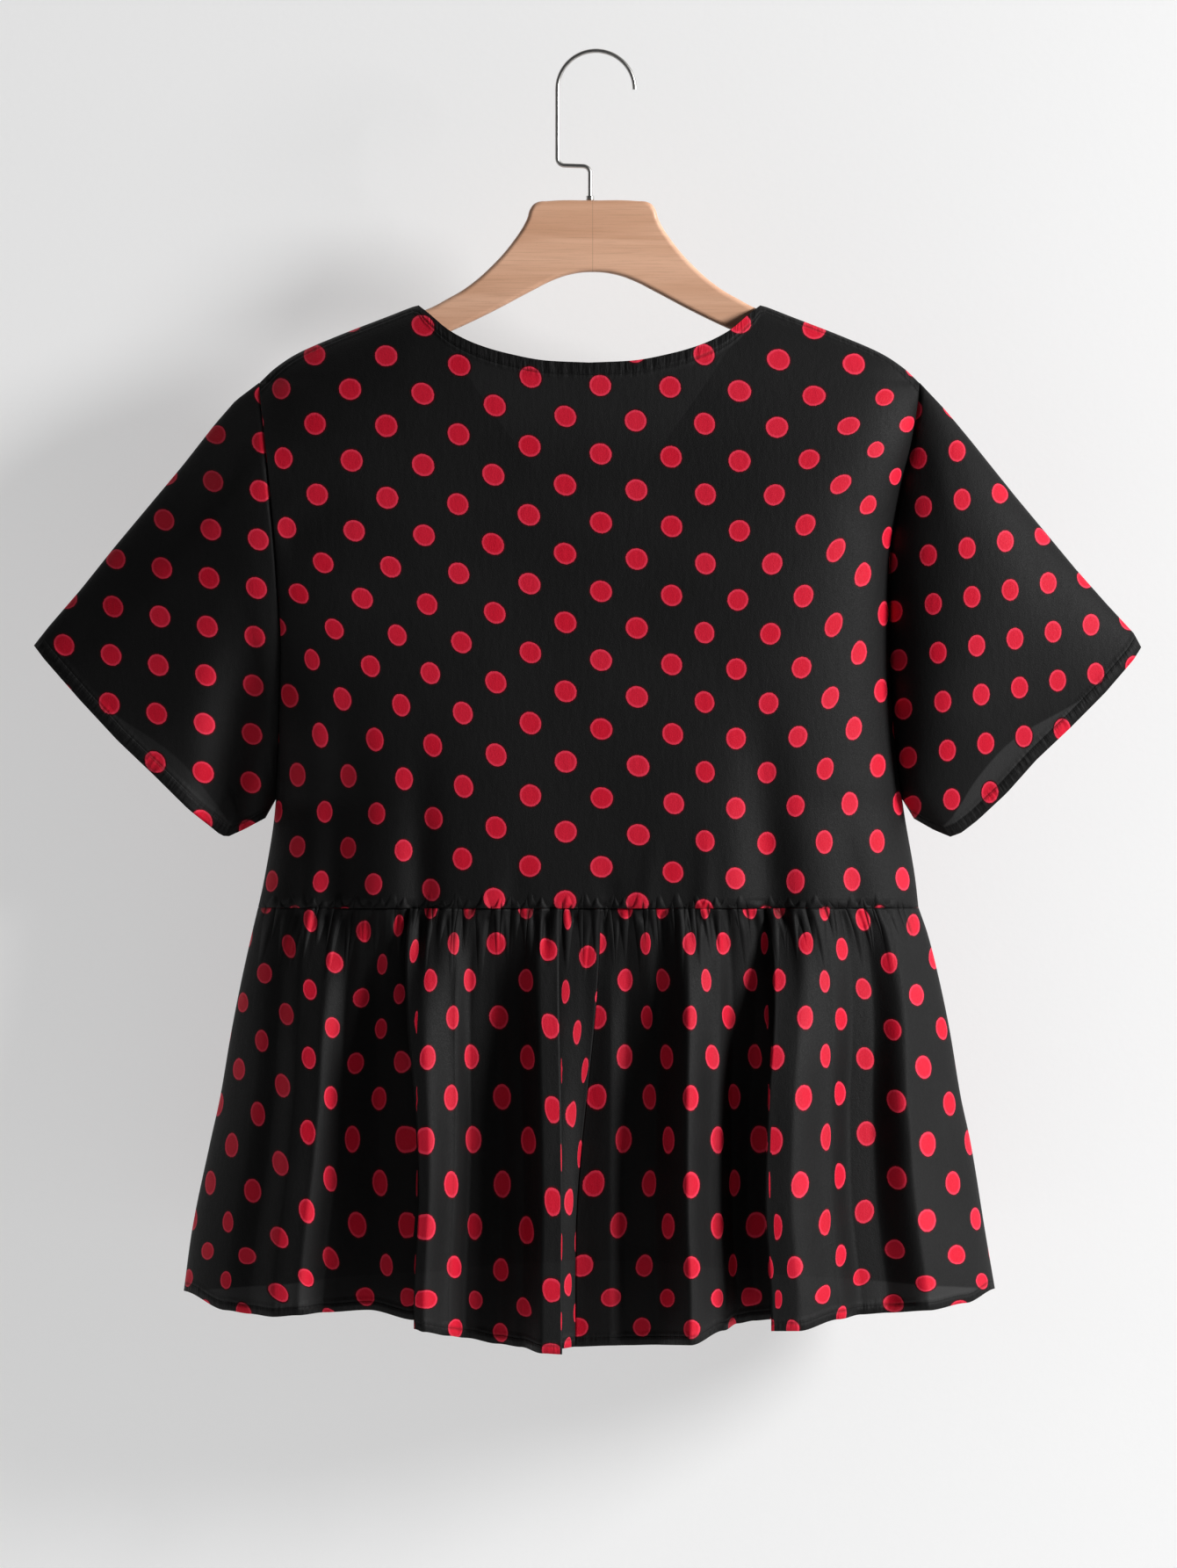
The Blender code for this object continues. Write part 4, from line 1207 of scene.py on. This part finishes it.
def backdrop():
    """A wall behind the top, a floor below it and a round cove between them."""
    profile = [(WALL_Y, WALL_TOP)]
    for i in range(COVE_STEPS + 1):
        angle = pi / 2 * i / COVE_STEPS
        profile.append((WALL_Y - COVE * (1 - cos(angle)), FLOOR_Z + COVE * (1 - sin(angle))))
    profile.append((FLOOR_END_Y, FLOOR_Z))
    shape = bmesh.new()
    edges = [[shape.verts.new((x, y, z)) for y, z in profile] for x in (-WALL_X, WALL_X)]
    for i in range(len(profile) - 1):
        shape.faces.new((edges[0][i], edges[0][i + 1], edges[1][i + 1], edges[1][i]))
    return placed("backdrop", smooth_mesh("backdrop", shape, wall_material()))


def studio():
    for name, place, size, power in (
        ("key", (2.85, -1.55, 0.45), 1, 150),
        ("fill", (-2.4, -2.6, -0.3), 1.6, 2),
        ("behind", (-1.6, 2.4, 0.6), 1.4, 40),
    ):
        data = bpy.data.lights.new(name, "AREA")
        data.shape = "DISK"
        data.size = size
        data.energy = power
        lamp = placed(name, data)
        lamp.location = place
        lamp.rotation_euler = (LIGHT_AIM - Vector(place)).to_track_quat("-Z", "Y").to_euler()
    world = bpy.data.worlds.new("studio")
    world.use_nodes = True
    tree = world.node_tree
    sky = tree.nodes["Background"]
    sky.inputs["Color"].default_value = (0.97, 0.98, 1, 1)
    sky.inputs["Strength"].default_value = 0.05
    paper = tree.nodes.new("ShaderNodeBackground")
    paper.inputs["Color"].default_value = (0.8, 0.8, 0.8, 1)
    seen = tree.nodes.new("ShaderNodeMixShader")
    tree.links.new(tree.nodes.new("ShaderNodeLightPath").outputs["Is Camera Ray"], seen.inputs[0])
    tree.links.new(sky.outputs[0], seen.inputs[1])
    tree.links.new(paper.outputs[0], seen.inputs[2])
    tree.links.new(seen.outputs[0], tree.nodes["World Output"].inputs["Surface"])
    bpy.context.scene.world = world
    bpy.context.scene.view_settings.view_transform = "Standard"


def camera():
    data = bpy.data.cameras.new("camera")
    data.sensor_fit = "VERTICAL"
    data.sensor_height = SENSOR
    data.lens = SENSOR * CAMERA_DISTANCE / VIEW_HEIGHT
    eye = placed("camera", data)
    eye.location = (VIEW_CENTRE[0], -CAMERA_DISTANCE, VIEW_CENTRE[1])
    eye.rotation_euler = (pi / 2, 0, 0)
    bpy.context.scene.camera = eye


def bodice_row(z):
    return (BACK_FIRST_ROW_Z - z) / BACK_ROW_STEP


def build():
    crepe = crepe_material("dotted_crepe", True)
    plain = crepe_material("plain_crepe", False)
    steel = steel_material()

    def stands_for(piece, node):
        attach(piece, "root")
        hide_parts(node)

    def add(node, rows, maps, finish=crepe, ring=False):
        stands_for(cloth_piece(node + "_cloth", rows, maps, finish, ring), node)

    rows = bodice_grid(BACK)
    add("back_bodice", rows, {
        "Grain": charted_print(rows, BODICE_WIDTH, GRAIN_HEIGHTS, BACK_GRAIN, BACK_DRIFT, bodice_row),
        "Edge": edge_distances(rows, NECK_HEM),
        "Layers": [[past_neck(point) for point in row] for row in rows],
        "Gathers": gathered_places(rows, 0, PUCKER_SHORTNESS),
    })
    rows = bodice_grid(FRONT)
    add("front_bodice", rows, {
        "Grain": even_print(rows),
        "Edge": edge_distances(rows, NECK_HEM),
        "Gathers": gathered_places(rows, 0, PUCKER_SHORTNESS),
    })
    for node, face in (("neck_facing_back", BACK), ("neck_facing_front", FRONT)):
        rows = facing_grid(face)
        add(node, rows, {"Edge": edge_distances(rows, 0)}, plain)
    for node, sleeve in (("sleeve_left", LEFT_SLEEVE), ("sleeve_right", RIGHT_SLEEVE)):
        rings = sleeve_grid(sleeve)
        add(node, rings, {
            "Grain": sleeve_print(sleeve, rings),
            "Edge": edge_distances(rings, CUFF_HEM),
            "Layers": distances_past_cuff(sleeve, rings),
        }, ring=True)
    dot_rows = Curve(PEPLUM_DOT_ROWS)
    for node, creases, grain, drift, gaps in (
        ("peplum_back_left", BACK_CREASES_LEFT, PEPLUM_GRAIN_LEFT, PEPLUM_DRIFT_LEFT, (0, MIDDLE_GAP)),
        ("peplum_back_right", BACK_CREASES_RIGHT, PEPLUM_GRAIN_RIGHT, PEPLUM_DRIFT_RIGHT, (MIDDLE_GAP, 0)),
    ):
        rows = peplum_grid(BACK, creases, *gaps)
        add(node, rows, {
            "Grain": charted_print(rows, PEPLUM_WIDTH, PEPLUM_GRAIN_HEIGHTS, grain, drift, dot_rows),
            "Edge": edge_distances(rows, PEPLUM_HEM, finished_last=False),
            "Layers": [[past_hem(point) for point in row] for row in rows],
            "Gathers": gathered_places(rows, -1),
        })
    rows = peplum_grid(FRONT, FRONT_CREASES)
    add("peplum_front", rows, {
        "Grain": even_print(rows),
        "Edge": edge_distances(rows, PEPLUM_HEM, finished_last=False),
        "Gathers": gathered_places(rows, -1),
    })
    hanger = hanger_piece(beech_material())
    stands_for(hanger, "hanger_wood")
    stands_for(hook_piece(steel), "hanger_hook")
    stands_for(ferrule_piece(steel), "hook_ferrule")


camera()
studio()
backdrop()
build()
